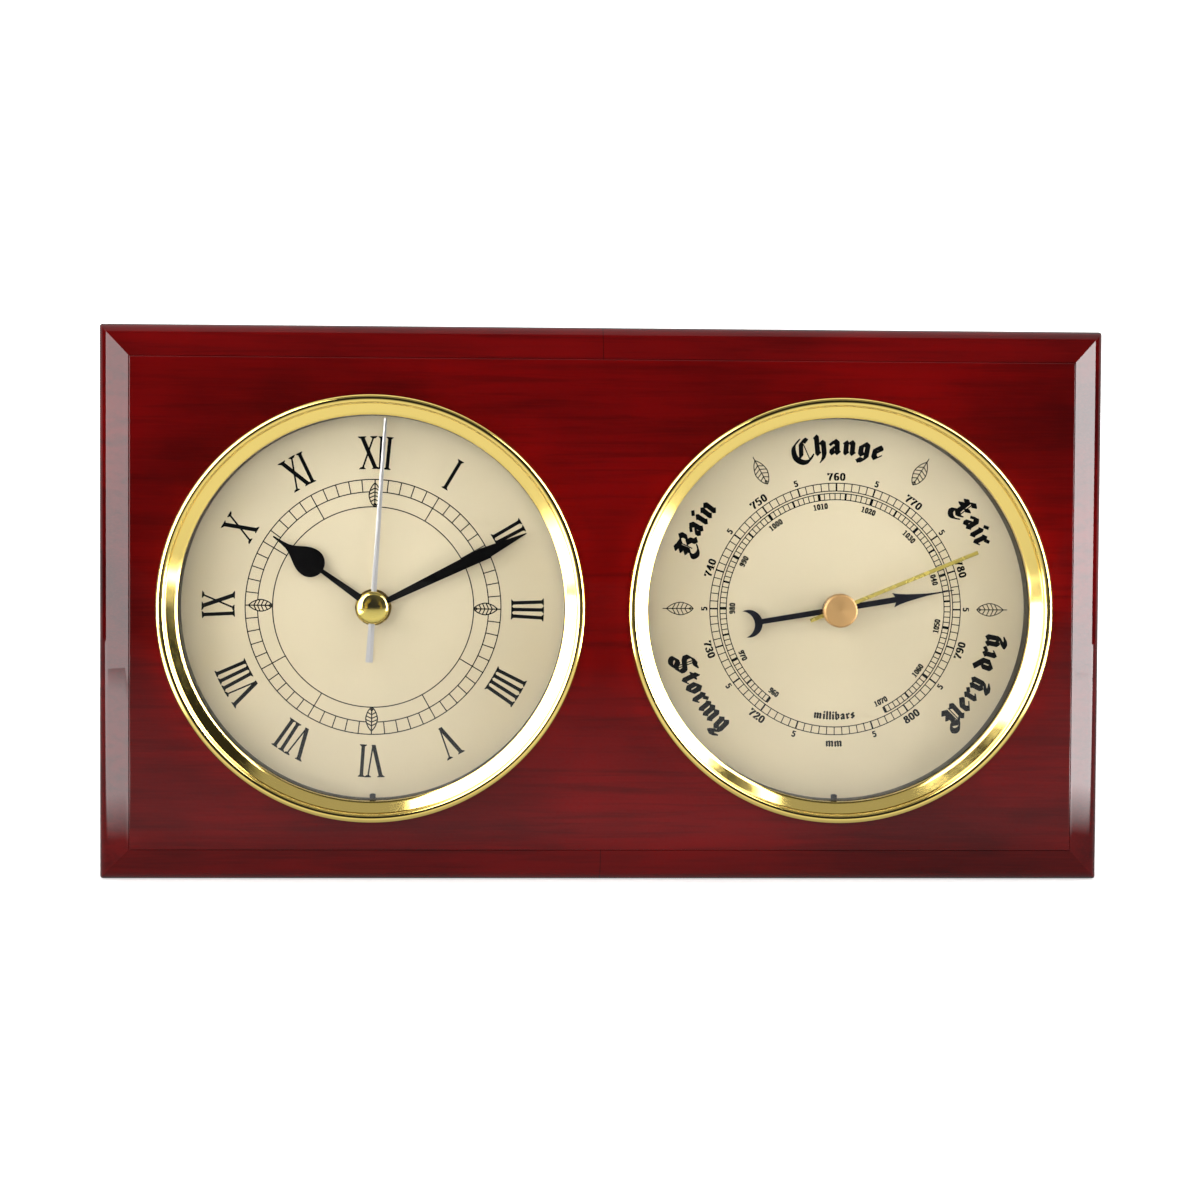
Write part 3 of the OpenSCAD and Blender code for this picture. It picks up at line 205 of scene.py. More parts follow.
def blend(tree, fac, a, b):
    """Mixes two colours. Each of them, and fac, is a socket or a value."""
    n = add(tree, "Mix", data_type="RGBA")
    for key, value in ((0, fac), (6, a), (7, b)):
        if isinstance(value, bpy.types.NodeSocket):
            tree.links.new(value, n.inputs[key])
        else:
            n.inputs[key].default_value = value
    return n.outputs[2]

def bump(tree, principled, height, distance, socket="Normal"):
    """A relief of the given depth in metres."""
    n = add(tree, "Bump", [("Height", height)])
    n.inputs["Distance"].default_value = distance
    tree.links.new(n.outputs["Normal"], principled.inputs[socket])
    return n

def rgb(r, g, b):
    """Linear colour of a display colour."""
    return [(v / 255 / 12.92 if v <= 10.3 else ((v / 255 + 0.055) / 1.055) ** 2.4)
            for v in (r, g, b)] + [1]

def shade(colour, factor):
    """A colour made darker or lighter."""
    return [min(1, c * factor) for c in colour[:3]] + [1]

def plain(name, colour, metallic, roughness, grain, depth, vary, stretch=(1, 1, 1), spots=None,
          gloss=0.5):
    """Moulded, plated or painted stuff: uneven tone, uneven gloss and a fine relief."""
    m, t, p = shader(name, Metallic=metallic, Specular_IOR_Level=gloss)
    v = place(t, stretch)
    cloud = noise(t, v, grain / 12, 4)
    fine = noise(t, v, grain, 3)
    base = blend(t, cloud, shade(colour, 1 - vary), shade(colour, 1 + vary))
    if spots:
        speck = add(t, "TexVoronoi", [("Vector", v)])
        speck.inputs["Scale"].default_value = grain / 3
        base = blend(t, spread(t, speck.outputs["Distance"], 0.08, 0.16, 1, 0), base, spots)
    t.links.new(base, p.inputs["Base Color"])
    t.links.new(spread(t, fine, 0.3, 0.7, roughness * 0.85, roughness * 1.2), p.inputs["Roughness"])
    bump(t, p, fine, depth)
    return m


WOOD_DARK, WOOD_RED = rgb(64, 5, 6), rgb(109, 7, 8)
STREAK_TONE, GRAIN_TONE = rgb(53, 5, 6), rgb(122, 17, 12)
KNOT_TONE, JOINT_TONE = rgb(40, 4, 5), rgb(36, 4, 4)
NIB_SCALE, COAT_RELIEF = 150, 0.000012

def lacquer():
    """Mahogany under thick clear lacquer: broad dark clouds, grain streaks, knots and dust nibs,
    paler to the middle of the board."""
    m, t, p = shader("mahogany_lacquer", Roughness=0.45, Coat_Weight=0.6, Coat_Roughness=0.012,
                     Coat_IOR=1.42, Specular_IOR_Level=0.0)
    streak = noise(t, place(t, (3, 40, 60)), 6, 6, 0.6, 0.4)
    fine_grain = noise(t, place(t, (12, 300, 420)), 5, 3, 0.7)
    cloud = noise(t, place(t, (5, 8, 9), (0.35, 0, 0.1)), 2.2, 3)
    axes = add(t, "SeparateXYZ", [("Vector", place(t))])
    aside = add(t, "Math", [(0, axes.outputs["X"])], operation="ABSOLUTE").outputs[0]
    mid = spread(t, aside, 0.01, 0.13, 0.5, 0)
    pale = add(t, "Math", [(0, spread(t, cloud, 0.36, 0.64, 0, 1)), (1, mid)], operation="ADD",
               use_clamp=True)
    tone = blend(t, pale.outputs[0], WOOD_DARK, WOOD_RED)
    tone = blend(t, spread(t, streak, 0.45, 0.7, 0, 0.55), tone, STREAK_TONE)
    tone = blend(t, spread(t, fine_grain, 0.45, 0.75, 0, 0.2), tone, GRAIN_TONE)
    knot = add(t, "TexVoronoi", [("Vector", place(t, (14, 40, 55)))], feature="F1")
    knot.inputs["Scale"].default_value = 1.0
    tone = blend(t, spread(t, knot.outputs["Distance"], 0.02, 0.14, 0.4, 0), tone, KNOT_TONE)
    tone = blend(t, joint_line(t), tone, JOINT_TONE)
    t.links.new(tone, p.inputs["Base Color"])
    wave = noise(t, place(t), 40, 1)
    nib = add(t, "TexVoronoi", [("Vector", place(t))])
    nib.inputs["Scale"].default_value = NIB_SCALE
    lump = add(t, "Math", [(0, wave), (1, spread(t, nib.outputs["Distance"], 0, 0.05, 0.6, 0))],
               operation="ADD")
    bump(t, p, lump.outputs[0], COAT_RELIEF, "Coat Normal")
    return m


JOINT_X_MM = -0.6
JOINT_W_MM = 0.16
JOINT_DARK = 0.75
JOINT_FADE = 0.0001

def joint_line(tree):
    """JOINT_DARK on the hairline where the halves of the top and bottom mouldings meet, else 0."""
    axes = add(tree, "SeparateXYZ", [("Vector", place(tree, (1, 1, 1), (-JOINT_X_MM * MM, 0, 0)))])
    across = add(tree, "Math", [(0, axes.outputs["X"])], operation="ABSOLUTE")
    up = add(tree, "Math", [(0, axes.outputs["Z"])], operation="ABSOLUTE")
    thin = spread(tree, across.outputs[0], JOINT_W_MM * MM * 0.4, JOINT_W_MM * MM, JOINT_DARK, 0)
    border = (BOARD_H / 2 - BORDER_MM) * MM
    outside = spread(tree, up.outputs[0], border, border + JOINT_FADE, 0, 1)
    return add(tree, "Math", [(0, thin), (1, outside)], operation="MULTIPLY").outputs[0]


def sealed_back():
    """Back of the board: dark stain on bare fibre, dull and slightly furry."""
    return plain("stained_fibre", rgb(58, 26, 20), 0, 0.85, 1400, 0.00006, 0.3, (1, 1, 2.5))


BRASS_DIP = 0.94
TOOL_MARKS = 4000  # per metre of radius

def turned_brass(name, colour, roughness, grain, centre=None, metallic=1.0, flat=False):
    """Lacquered brass with uneven tone and gloss, and a relief of depth grain: rings of tool marks
    about centre, or an even grain. flat keeps flat faces flat where their normals are smoothed."""
    m, t, p = shader(name, Metallic=metallic)
    cloud = noise(t, place(t), 70, 4)
    t.links.new(blend(t, cloud, shade(colour, BRASS_DIP), colour), p.inputs["Base Color"])
    t.links.new(spread(t, noise(t, place(t), 260, 3), 0.3, 0.7, roughness * 0.8, roughness * 1.25),
                p.inputs["Roughness"])
    if centre:
        coordinate = place(t, (1, 0, 1), (-centre[0] * MM, 0, -centre[1] * MM))
        far = add(t, "VectorMath", [(0, coordinate)], operation="LENGTH")
        tooth = add(t, "TexNoise", [("W", far.outputs["Value"])], noise_dimensions="1D")
        tooth.inputs["Scale"].default_value = TOOL_MARKS
        marks = bump(t, p, tooth.outputs["Fac"], grain)
        if flat:
            t.links.new(add(t, "NewGeometry").outputs["True Normal"], marks.inputs["Normal"])
    else:
        bump(t, p, noise(t, place(t), 600, 3), grain)
    return m


DIAL_LOW_TONE, DIAL_SHEEN_TONE = rgb(221, 206, 173), rgb(241, 226, 192)
DIAL_CLOUD_TONE = rgb(206, 193, 166)
DIAL_SHEEN_RISE = 0.05  # half the height over which a painted sheen makes the tone paler to the top
BRUSH_RELIEF = 0.000004

def satin_dial(name, centre):
    """Champagne lacquer on a brushed plate, a little paler to the top from a painted sheen."""
    m, t, p = shader(name, Roughness=0.5, Specular_IOR_Level=0.25)
    axes = add(t, "SeparateXYZ", [("Vector", place(t, (1, 1, 1), (0, 0, -centre[1] * MM)))])
    # Painted sheen: the tone grows paler towards the top of the dial.
    painted_sheen = spread(t, axes.outputs["Z"], -DIAL_SHEEN_RISE, DIAL_SHEEN_RISE, 0, 1)
    cloud = noise(t, place(t, (60, 1, 14)), 1.0, 3)
    tone = blend(t, painted_sheen, DIAL_LOW_TONE, DIAL_SHEEN_TONE)
    tone = blend(t, spread(t, cloud, 0.3, 0.7, 0, 0.12), tone, DIAL_CLOUD_TONE)
    t.links.new(tone, p.inputs["Base Color"])
    brush = noise(t, place(t, (9000, 1, 300)), 1.0, 2)
    bump(t, p, brush, BRUSH_RELIEF)
    return m


def clear_glass():
    """Flat glass that lets lamps through to the dial."""
    m, t, p = shader("clear_glass", Roughness=0.0, IOR=1.5, Transmission_Weight=1.0)
    p.inputs["Base Color"].default_value = (0.985, 0.995, 0.99, 1)
    bump(t, p, noise(t, place(t), 12, 1), 0.00001)
    path = add(t, "LightPath")
    clear = add(t, "BsdfTransparent")
    mixed = add(t, "MixShader", [(0, path.outputs["Is Shadow Ray"]), (1, p.outputs[0]),
                                 (2, clear.outputs[0])])
    t.links.new(mixed.outputs[0], t.nodes["Material Output"].inputs["Surface"])
    return m


BRASS = rgb(250, 222, 128)
LACQUER = lacquer()
BACK = sealed_back()
CLOCK_BRASS = turned_brass("clock_bezel_brass", BRASS, 0.09, 0.0000002, CLOCK)
BARO_BRASS = turned_brass("baro_bezel_brass", BRASS, 0.09, 0.0000002, BARO)
CAP_BRASS = turned_brass("cap_brass", rgb(240, 218, 122), 0.07, 0.0000005)
KNOB_BRASS = turned_brass("knob_brass", rgb(192, 152, 98), 0.42, 0.000008, BARO, 0.4, True)
SET_BRASS = turned_brass("set_hand_brass", rgb(226, 204, 106), 0.25, 0.000001, metallic=0.5)
GLASS = clear_glass()
INK = plain("black_ink", rgb(6, 6, 7), 0, 0.6, 3000, 0.000002, 0.3, gloss=0.05)
HAND_BLACK = plain("hand_enamel", rgb(7, 6, 7), 0, 0.45, 1600, 0.000003, 0.35, gloss=0.06)
INDICATOR_BLACK = plain("blued_indicator", rgb(12, 13, 24), 0, 0.4, 1600, 0.000004, 0.35, gloss=0.2)
SILVER = plain("silvered_aluminium", rgb(200, 197, 198), 0.4, 0.34, 2500, 0.000003, 0.05, (1, 1, 6))

FINISHES = {
    "black_ring": plain("black_spacer", rgb(20, 19, 19), 0, 0.45, 1500, 0.00001, 0.25),
    "case_brass": turned_brass("case_brass_sheet", rgb(196, 160, 88), 0.32, 0.000008),
    "movement_brass": turned_brass("movement_brass_sheet", rgb(220, 184, 104), 0.25, 0.000004),
    "black_plastic": plain("black_plastic", rgb(26, 27, 29), 0, 0.5, 1800, 0.00002, 0.2),
    "gear_plastic": plain("gear_plastic", rgb(232, 228, 214), 0, 0.42, 1400, 0.00001, 0.05),
    "blackened_steel": HAND_BLACK,
    "blued_steel": INDICATOR_BLACK,
    "steel": plain("steel", rgb(176, 178, 182), 1, 0.3, 1800, 0.000006, 0.12, (1, 4, 1)),
    "silver_hand": SILVER,
    "zinc_plate": plain("zinc_plate", rgb(196, 200, 206), 1, 0.34, 700, 0.00001, 0.16),
    "copper_wire": plain("copper_wire", rgb(196, 112, 70), 1, 0.3, 1500, 0.00003, 0.2, (1, 1, 14)),
    "circuit_green": plain("circuit_green", rgb(28, 88, 52), 0, 0.4, 1200, 0.00001, 0.2,
                           spots=rgb(190, 160, 90)),
    "battery_sleeve": plain("battery_sleeve", rgb(40, 62, 96), 0.2, 0.3, 1000, 0.00001, 0.2),
    "polished_brass": turned_brass("polished_brass_plate", rgb(222, 186, 100), 0.2, 0.000004),
    "lacquered_wood": LACQUER, "glass": GLASS, "dial_metal": SILVER,
}


# Board: the moulding's section carried round the rectangle, with mitred corners

def board_section():
    """(inset from the outer edge, height) from the back edge to the face."""
    slope = math.tan(math.radians(BEVEL_DEG))
    fall = (BORDER_MM - EDGE_R_MM * (1 - math.sin(math.radians(BEVEL_DEG)))) * slope
    edge_z = BOARD_T - STEP_MM - fall - EDGE_R_MM * math.cos(math.radians(BEVEL_DEG))
    round_edge = arc(EDGE_R_MM, edge_z, EDGE_R_MM, 180, 90 + BEVEL_DEG, 32)
    foot = (BORDER_MM - GROOVE_W_MM, BOARD_T - STEP_MM - GROOVE_W_MM * slope)
    bevel = straight(round_edge[-1], foot, 6)[1:]
    groove = [(BORDER_MM - GROOVE_W_MM / 2, BOARD_T - GROOVE_DEEP_MM),
              (BORDER_MM, BOARD_T - GROOVE_DEEP_MM)]
    lip = arc(BORDER_MM + LIP_ROUND_MM, BOARD_T - LIP_ROUND_MM, LIP_ROUND_MM, 180, 90, 6)
    return [(BACK_EDGE_MM, 0), (0, BACK_EDGE_MM)] + round_edge + bevel + groove + lip

def board_loop(inset, z):
    """The board's outline at an inset and a height, its corners slightly round in plan."""
    r = max(CORNER_LEAST_MM, CORNER_R_MM - inset)
    w, h = BOARD_W / 2 - inset - r, BOARD_H / 2 - inset - r
    return [Vector((x * MM, -z * MM, y * MM))
            for sx, sy, first in ((1, 1, 0), (-1, 1, 90), (-1, -1, 180), (1, -1, 270))
            for x, y in arc(sx * w, sy * h, r, first, first + 90, 4)]

def make_board():
    """The lacquered board with its stained back, cut out as the CAD board is."""
    loops = [board_loop(inset, z) for inset, z in board_section()]
    n, count = len(loops[0]), len(loops)
    verts = [v for loop in loops for v in loop]
    faces = [(i * n + k, i * n + (k + 1) % n, (i + 1) * n + (k + 1) % n, (i + 1) * n + k)
             for i in range(count - 1) for k in range(n)]
    faces += [tuple(range(n - 1, -1, -1)), tuple(range((count - 1) * n, count * n))]
    marks = [0] * (len(faces) - 2) + [1, 0]
    board = piece("lacquered_board", verts, faces, [LACQUER, BACK],
                  replaces=("board",), marks=marks)
    cut_like_cad(board)
    board.data.shade_smooth()
    board.data.set_sharp_from_angle(angle=math.radians(BOARD_SMOOTH_DEG))

def cut_like_cad(board):
    """Bores for the two cases, keyhole pockets and plate recesses, as boolean cuts."""
    bore_r = span("clock_case")[1].x - CLOCK[0] + BORE_PLAY_MM
    cutters = [bar(centre, bore_r, -PAST_MM, BOARD_T + PAST_MM, BORE_STEPS)
               for centre in (CLOCK, BARO)]
    low, high = span("hanger_plates")
    y, half_h = (low.z + high.z) / 2, (high.z - low.z) / 2
    slot_reach = (SLOT_RISE_MM + ENTRY_DROP_MM) / 2
    for x in (low.x + PLATE_HALF_W_MM, high.x - PLATE_HALF_W_MM):
        cutters.append(slotted((x, y), PLATE_HALF_W_MM + PLATE_PLAY_MM, half_h - PLATE_HALF_W_MM,
                               -PAST_MM, -low.y))
        cutters.append(bar((x, y - ENTRY_DROP_MM), ENTRY_R_MM, -PAST_MM, POCKET_DEEP_MM,
                           HOLE_STEPS))
        cutters.append(slotted((x, y + SLOT_RISE_MM - slot_reach), SLOT_HALF_W_MM, slot_reach,
                               -PAST_MM, POCKET_DEEP_MM))
        for side in (-1, 1):
            cutters.append(bar((x, y + side * (half_h - SCREW_FROM_END_MM)), SCREW_R_MM, -PAST_MM,
                               SCREW_DEEP_MM, SCREW_STEPS))
    cutter = bpy.data.objects.new("cutter", join_meshes(cutters))
    bpy.context.scene.collection.objects.link(cutter)
    mod = board.modifiers.new("cuts", "BOOLEAN")
    mod.operation, mod.object, mod.solver = "DIFFERENCE", cutter, "EXACT"
    mod.use_self = True
    bpy.context.view_layer.update()
    evaluated = board.evaluated_get(bpy.context.evaluated_depsgraph_get())
    mesh = bpy.data.meshes.new_from_object(evaluated)
    board.modifiers.clear()
    board.data = mesh
    bpy.data.objects.remove(cutter)

def prism(outline, centre, z0, z1):
    """Vertices and faces of an outline (anticlockwise, face on) pushed from z0 to z1."""
    n = len(outline)
    verts = [at(centre, x, y, z0) for x, y in outline] + [at(centre, x, y, z1) for x, y in outline]
    faces = [tuple(range(n - 1, -1, -1)), tuple(range(n, 2 * n))]
    faces += [(i, (i + 1) % n, n + (i + 1) % n, n + i) for i in range(n)]
    return verts, faces

def bar(centre, r, z0, z1, steps):
    return prism(arc(0, 0, r, 0, 360, steps)[:-1], centre, z0, z1)

def slotted(centre, half_w, reach, z0, z1):
    """An upright bar with round ends, whose centres lie reach above and below centre."""
    half = HOLE_STEPS // 2
    outline = arc(0, reach, half_w, 0, 180, half) + arc(0, -reach, half_w, 180, 360, half)
    return prism(outline, centre, z0, z1)

def join_meshes(parts):
    verts, faces = [], []
    for v, f in parts:
        faces += [tuple(i + len(verts) for i in face) for face in f]
        verts += v
    mesh = bpy.data.meshes.new("joined")
    mesh.from_pydata(verts, [], faces)
    return mesh


# Bezels: lip over the glass, slope, crevice and broad roll, from the dial outwards, then the
# sleeve that goes down into the board

LIP_R_MM, LIP_Z_MM = 58.9, 32.8
LIP_NOSE_MM, LIP_FALL_MM = 0.15, 0.25
GLASS_LAP_MM = 0.7
CREVICE_R_MM, CREVICE_Z_MM = 62.2, 34.8
ROLL_R_MM = 1.4
FOOT_CHAMFER_MM = 0.3
SLEEVE_R_MM, SLEEVE_BORE_R_MM, SLEEVE_END_Z_MM = 61.2, 60.55, 25
SHOULDER_R_MM, SHOULDER_Z_MM = 59.8, 28.2

def bezel_profile():
    """(r, z) once round the section of the ring."""
    roll = (BEZEL_R - ROLL_R_MM, CROWN_Z - ROLL_R_MM)
    slope = straight((LIP_R_MM, LIP_Z_MM), (CREVICE_R_MM, CREVICE_Z_MM), 8)
    points = [(LIP_R_MM + GLASS_LAP_MM, GLASS_TOP_Z), (LIP_R_MM, GLASS_TOP_Z),
              (LIP_R_MM, LIP_Z_MM - LIP_FALL_MM)]
    points += arc(LIP_R_MM + LIP_NOSE_MM, LIP_Z_MM - LIP_NOSE_MM, LIP_NOSE_MM, 180, 121, 4)
    points += slope[1:] + arc(roll[0], roll[1], ROLL_R_MM, 200, 0, 36)
    points += [(BEZEL_R, BOARD_T + FOOT_CHAMFER_MM), (BEZEL_R - FOOT_CHAMFER_MM, BOARD_T),
               (SLEEVE_R_MM, BOARD_T), (SLEEVE_R_MM, SLEEVE_END_Z_MM),
               (SLEEVE_BORE_R_MM, SLEEVE_END_Z_MM), (SLEEVE_BORE_R_MM, SHOULDER_Z_MM),
               (SHOULDER_R_MM, SHOULDER_Z_MM), (SHOULDER_R_MM, GLASS_TOP_Z)]
    return points

def make_bezels():
    for name, centre, brass in (("clock_bezel", CLOCK, CLOCK_BRASS),
                                ("baro_bezel", BARO, BARO_BRASS)):
        verts, faces = lathe(bezel_profile(), centre, BEZEL_STEPS)
        piece(name + "_turned", verts, faces, [brass], replaces=(name,),
              smooth=TURNED_SMOOTH_DEG)


# Ink: strokes of a pen, each the hull of its nib at both ends, joined into one flat outline

PRINT_MM = 0.04
WELD_MM = 1e-5

def hull(points):
    """Convex outline round the points, anticlockwise."""
    points = sorted(set((round(x, 5), round(y, 5)) for x, y in points))
    def half(ps):
        chain = []
        for p in ps:
            while len(chain) > 1 and ((chain[-1][0] - chain[-2][0]) * (p[1] - chain[-2][1])
                                      <= (chain[-1][1] - chain[-2][1]) * (p[0] - chain[-2][0])):
                chain.pop()
            chain.append(p)
        return chain[:-1]
    return half(points) + half(points[::-1])

def pen(length, thickness, angle):
    """Corners of a flat nib held at an angle."""
    a = math.radians(angle)
    u = math.cos(a) * length / 2, math.sin(a) * length / 2
    v = -math.sin(a) * thickness / 2, math.cos(a) * thickness / 2
    return [(i * u[0] + j * v[0], i * u[1] + j * v[1]) for i in (-1, 1) for j in (-1, 1)]

def round_nib(width):
    return arc(0, 0, width / 2, 0, 360, 8)[:-1]

def curved(points):
    """Catmull-Rom curve through the points."""
    out, p = [], [points[0]] + list(points) + [points[-1]]
    for a, b, c, d in zip(p, p[1:], p[2:], p[3:]):
        for i in range(CURVE_STEPS):
            t = i / CURVE_STEPS
            out.append(tuple(0.5 * (2 * b[k] + (c[k] - a[k]) * t
                             + (2 * a[k] - 5 * b[k] + 4 * c[k] - d[k]) * t * t
                             + (3 * b[k] - a[k] - 3 * c[k] + d[k]) * t ** 3) for k in (0, 1)))
    return out + [points[-1]]

def stroke(points, nib):
    """One polygon for each stretch of the nib's way."""
    return [hull([(p[0] + n[0], p[1] + n[1]) for p in pair for n in nib])
            for pair in zip(points, points[1:])]

def union(polygons):
    """Triangles that cover the polygons once, with their boundary edges."""
    verts, faces = [], []
    for poly in polygons:
        faces.append(list(range(len(verts), len(verts) + len(poly))))
        verts += [Vector(p) for p in poly]
    v, _, f, _, _, origin = delaunay_2d_cdt(verts, [], faces, 0, WELD_MM)
    tris = [tuple(t) for t, o in zip(f, origin) if o]
    edges = dict.fromkeys(e for t in tris for e in zip(t, t[1:] + t[:1]))
    border = [e for e in edges if (e[1], e[0]) not in edges]
    return [tuple(p) for p in v], tris, border

class Sheet:
    """Gathers inked shapes drawn face on about one dial, then makes them one piece. turn is how
    far the whole print lies turned clockwise on its dial, in degrees."""
    def __init__(self, centre, turn=0.0):
        self.centre, self.turn = centre, math.radians(-turn)
        self.verts, self.faces = [], []
    def stamp(self, shape, scale=1.0, turn=0.0, x=0.0, y=0.0):
        """Adds a shape: scaled, turned clockwise by degrees, then moved."""
        points, tris, border = shape
        own_turn, n, first = math.radians(-turn), len(points), len(self.verts)
        for z in (DIAL_Z + PRINT_MM, DIAL_Z):
            for point in points:
                px, py = turned(*point, own_turn)
                qx, qy = turned(scale * px + x, scale * py + y, self.turn)
                self.verts.append(at(self.centre, qx, qy, z))
        self.faces += [tuple(first + i for i in t) for t in tris]
        self.faces += [(first + a, first + a + n, first + b + n, first + b) for a, b in border]
    def make(self, name):
        piece(name, self.verts, self.faces, [INK])

def ring(r, width, first=0, last=360):
    """Polygons of a circle line, clockwise from 12 o'clock."""
    n = max(2, round(RING_STEPS * (last - first) / 360))
    cuts = [first + (last - first) * i / n for i in range(n + 1)]
    return [[polar(r - width / 2, b), polar(r - width / 2, a), polar(r + width / 2, a),
             polar(r + width / 2, b)] for a, b in zip(cuts, cuts[1:])]

def spoke(r0, r1, width, degrees):
    """Polygon of a radial line."""
    x, y = polar(1, degrees)
    w = width / 2
    return [(x * r0 - y * w, y * r0 + x * w), (x * r0 + y * w, y * r0 - x * w),
            (x * r1 + y * w, y * r1 - x * w), (x * r1 - y * w, y * r1 + x * w)]

# Shares of a leaf's width and length: three points of its edge, the blade without the stem, and
# the veins' places
LEAF_EDGE = ((0.3, 0.14), (0.5, 0.42), (0.32, 0.7))
LEAF_BLADE = 0.88
VEINS, FIRST_VEIN, VEIN_ROWS = 5, 0.16, 0.62
VEIN_DROP, VEIN_REACH = 0.09, 0.95

def leaf(length, width, thickness):
    """A pointed leaf drawn upwards from the origin, with midrib and veins."""
    nib = round_nib(thickness)
    def half(side):
        return curved([(0, 0), *((side * width * u, length * v) for u, v in LEAF_EDGE),
                       (0, length * LEAF_BLADE)])
    def reach(y):
        """About half the leaf's width at height y."""
        u = y / (length * LEAF_BLADE)
        return width / 2 * math.sin(math.pi * min(1, max(0, u)) ** 0.85) ** 0.9
    polys = stroke(half(1), nib) + stroke(half(-1), nib) + stroke([(0, 0), (0, length)], nib)
    for i in range(VEINS):
        y = length * LEAF_BLADE * (FIRST_VEIN + VEIN_ROWS * i / (VEINS - 1))
        tip = y - length * VEIN_DROP
        for side in (-1, 1):
            polys += stroke([(0, y), (side * reach(tip) * VEIN_REACH, tip)], nib)
    return union(polys)


# Clock print

CLOCK_TURN_DEG = 0.7
TRACK_IN_MM, TRACK_MID_MM, TRACK_OUT_MM = 30.9, 35.5, 39.3
TRACK_GAP_DEG = 2.35  # left free for a leaf on each side of it
LINE_MM = 0.32
LEAF_HOURS = (0, 3, 6, 9)
CLOCK_LEAF_W_MM, CLOCK_LEAF_LINE_MM = 3.6, 0.36
NUMERAL_R_MM = 42.5
NUMERAL_H_MM = 10.1
THICK_MM, THIN_MM, SERIF_MM = 1.08, 0.46, 0.34
INSET_MM, NIB_MM = 0.1, 0.1  # strokes stop inside their serifs
NUMERALS = ("XII", "I", "II", "III", "IIII", "V", "VI", "VII", "VIII", "IX", "X", "XI")
ADVANCE_DEG = {"I": 2.7, "V": 6.4, "X": 6.9}
# Strokes (x at the top, x at the foot, inset of the foot, width), then serifs (x, width) along the
# top and along the foot
NUMERAL_PARTS = {
    "I": (((0, 0, INSET_MM, THICK_MM),), ((0, 2.2),), ((0, 2.2),)),
    "V": (((-1.9, 0.25, INSET_MM, THICK_MM * 1.12), (2.15, 0.45, 0.3, THIN_MM)),
          ((-1.9, 2.3), (2.15, 2.0)), ()),
    "X": (((-1.75, 2.1, INSET_MM, THICK_MM * 1.18), (1.85, -1.95, INSET_MM, THIN_MM + 0.08)),
          ((-1.75, 2.6), (1.85, 2.2)), ((-1.95, 2.0), (2.1, 2.3))),
}

def serif(x, y, width, up):
    """A flat serif with a slight bracket, its bracket towards up."""
    w, t = width / 2, SERIF_MM
    return [hull([(x - w, y), (x + w, y), (x + w, y + up * t * 0.6), (x - w, y + up * t * 0.6),
                  (x + w * 0.45, y + up * t * 2.1), (x - w * 0.45, y + up * t * 2.1)])]

def numeral(strokes, top_serifs, foot_serifs):
    polys = []
    for top, foot, inset, width in strokes:
        polys += stroke([(top, NUMERAL_H_MM - INSET_MM), (foot, inset)], pen(width, NIB_MM, 0))
    for x, width in top_serifs:
        polys += serif(x, NUMERAL_H_MM, width, -1)
    for x, width in foot_serifs:
        polys += serif(x, 0, width, 1)
    return union(polys)

def make_clock_print():
    track = Sheet(CLOCK, CLOCK_TURN_DEG)
    polys = ring(TRACK_IN_MM, LINE_MM) + ring(TRACK_OUT_MM, LINE_MM)
    for hour in LEAF_HOURS:
        polys += ring(TRACK_MID_MM, LINE_MM, hour * 30 + TRACK_GAP_DEG,
                      hour * 30 + 90 - TRACK_GAP_DEG)
    for minute in range(60):
        if minute % 15:
            inner = TRACK_MID_MM if minute % 5 else TRACK_IN_MM
            polys.append(spoke(inner, TRACK_OUT_MM, LINE_MM, minute * 6))
    track.stamp(union([hull(p) for p in polys]))
    shape = leaf(TRACK_OUT_MM - TRACK_IN_MM, CLOCK_LEAF_W_MM, CLOCK_LEAF_LINE_MM)
    for hour in LEAF_HOURS:
        track.stamp(shape, 1, hour * 30, *polar(TRACK_IN_MM, hour * 30))
    track.make("clock_minute_track")
    figures = Sheet(CLOCK, CLOCK_TURN_DEG)
    shapes = {c: numeral(*parts) for c, parts in NUMERAL_PARTS.items()}
    for hour, text in enumerate(NUMERALS):
        angle = hour * 30 - sum(ADVANCE_DEG[c] for c in text) / 2
        for c in text:
            middle = angle + ADVANCE_DEG[c] / 2
            figures.stamp(shapes[c], 1, middle, *polar(NUMERAL_R_MM, middle))
            angle += ADVANCE_DEG[c]
    figures.make("clock_numerals")


# Lettering: pen strokes in hundredths of the letter's height; a ~ marks a curve, a . a hairline

FIGURE_PEN = pen(25, 8, 0)
FIGURES = {
    "0": "~38,95 21,80 16,50 21,20 38,5 55,20 60,50 55,80 38,95",
    "1": "38,92 38,6|22,82 38,92|18,4 58,4",
    "2": "~18,72 24,88 38,95 56,84 54,64 36,40 14,12|14,8 58,8|58,8 62,24",
    "3": "~16,80 36,95 54,82 52,64 36,53 56,40 58,22 40,5 20,8 14,22",
    "4": "50,94 50,6|50,94 12,32 66,32|36,4 64,4",
    "5": "24,94 56,94|24,87 56,87|17,90 17,56|~17,54 36,62 56,48 58,26 42,6 24,6 14,20",
    "6": "~56,84 42,95 22,76 16,46 22,16 38,5 56,16 60,34 50,54 34,54 20,40",
    "7": "14,90 62,90|~62,90 48,62 34,34 30,6|12,94 12,74",
    "8": "~38,53 22,66 22,84 38,95 54,84 54,66 38,53 18,40 18,18 38,5 58,18 58,40 38,53",
    "9": "~20,16 34,5 54,24 60,54 54,84 38,95 20,84 16,66 26,46 42,46 56,60",
}
FIGURE_W = 76
SMALL_NARROW = 0.82
SMALL_FIGURE_PEN = pen(24, 10, 0)

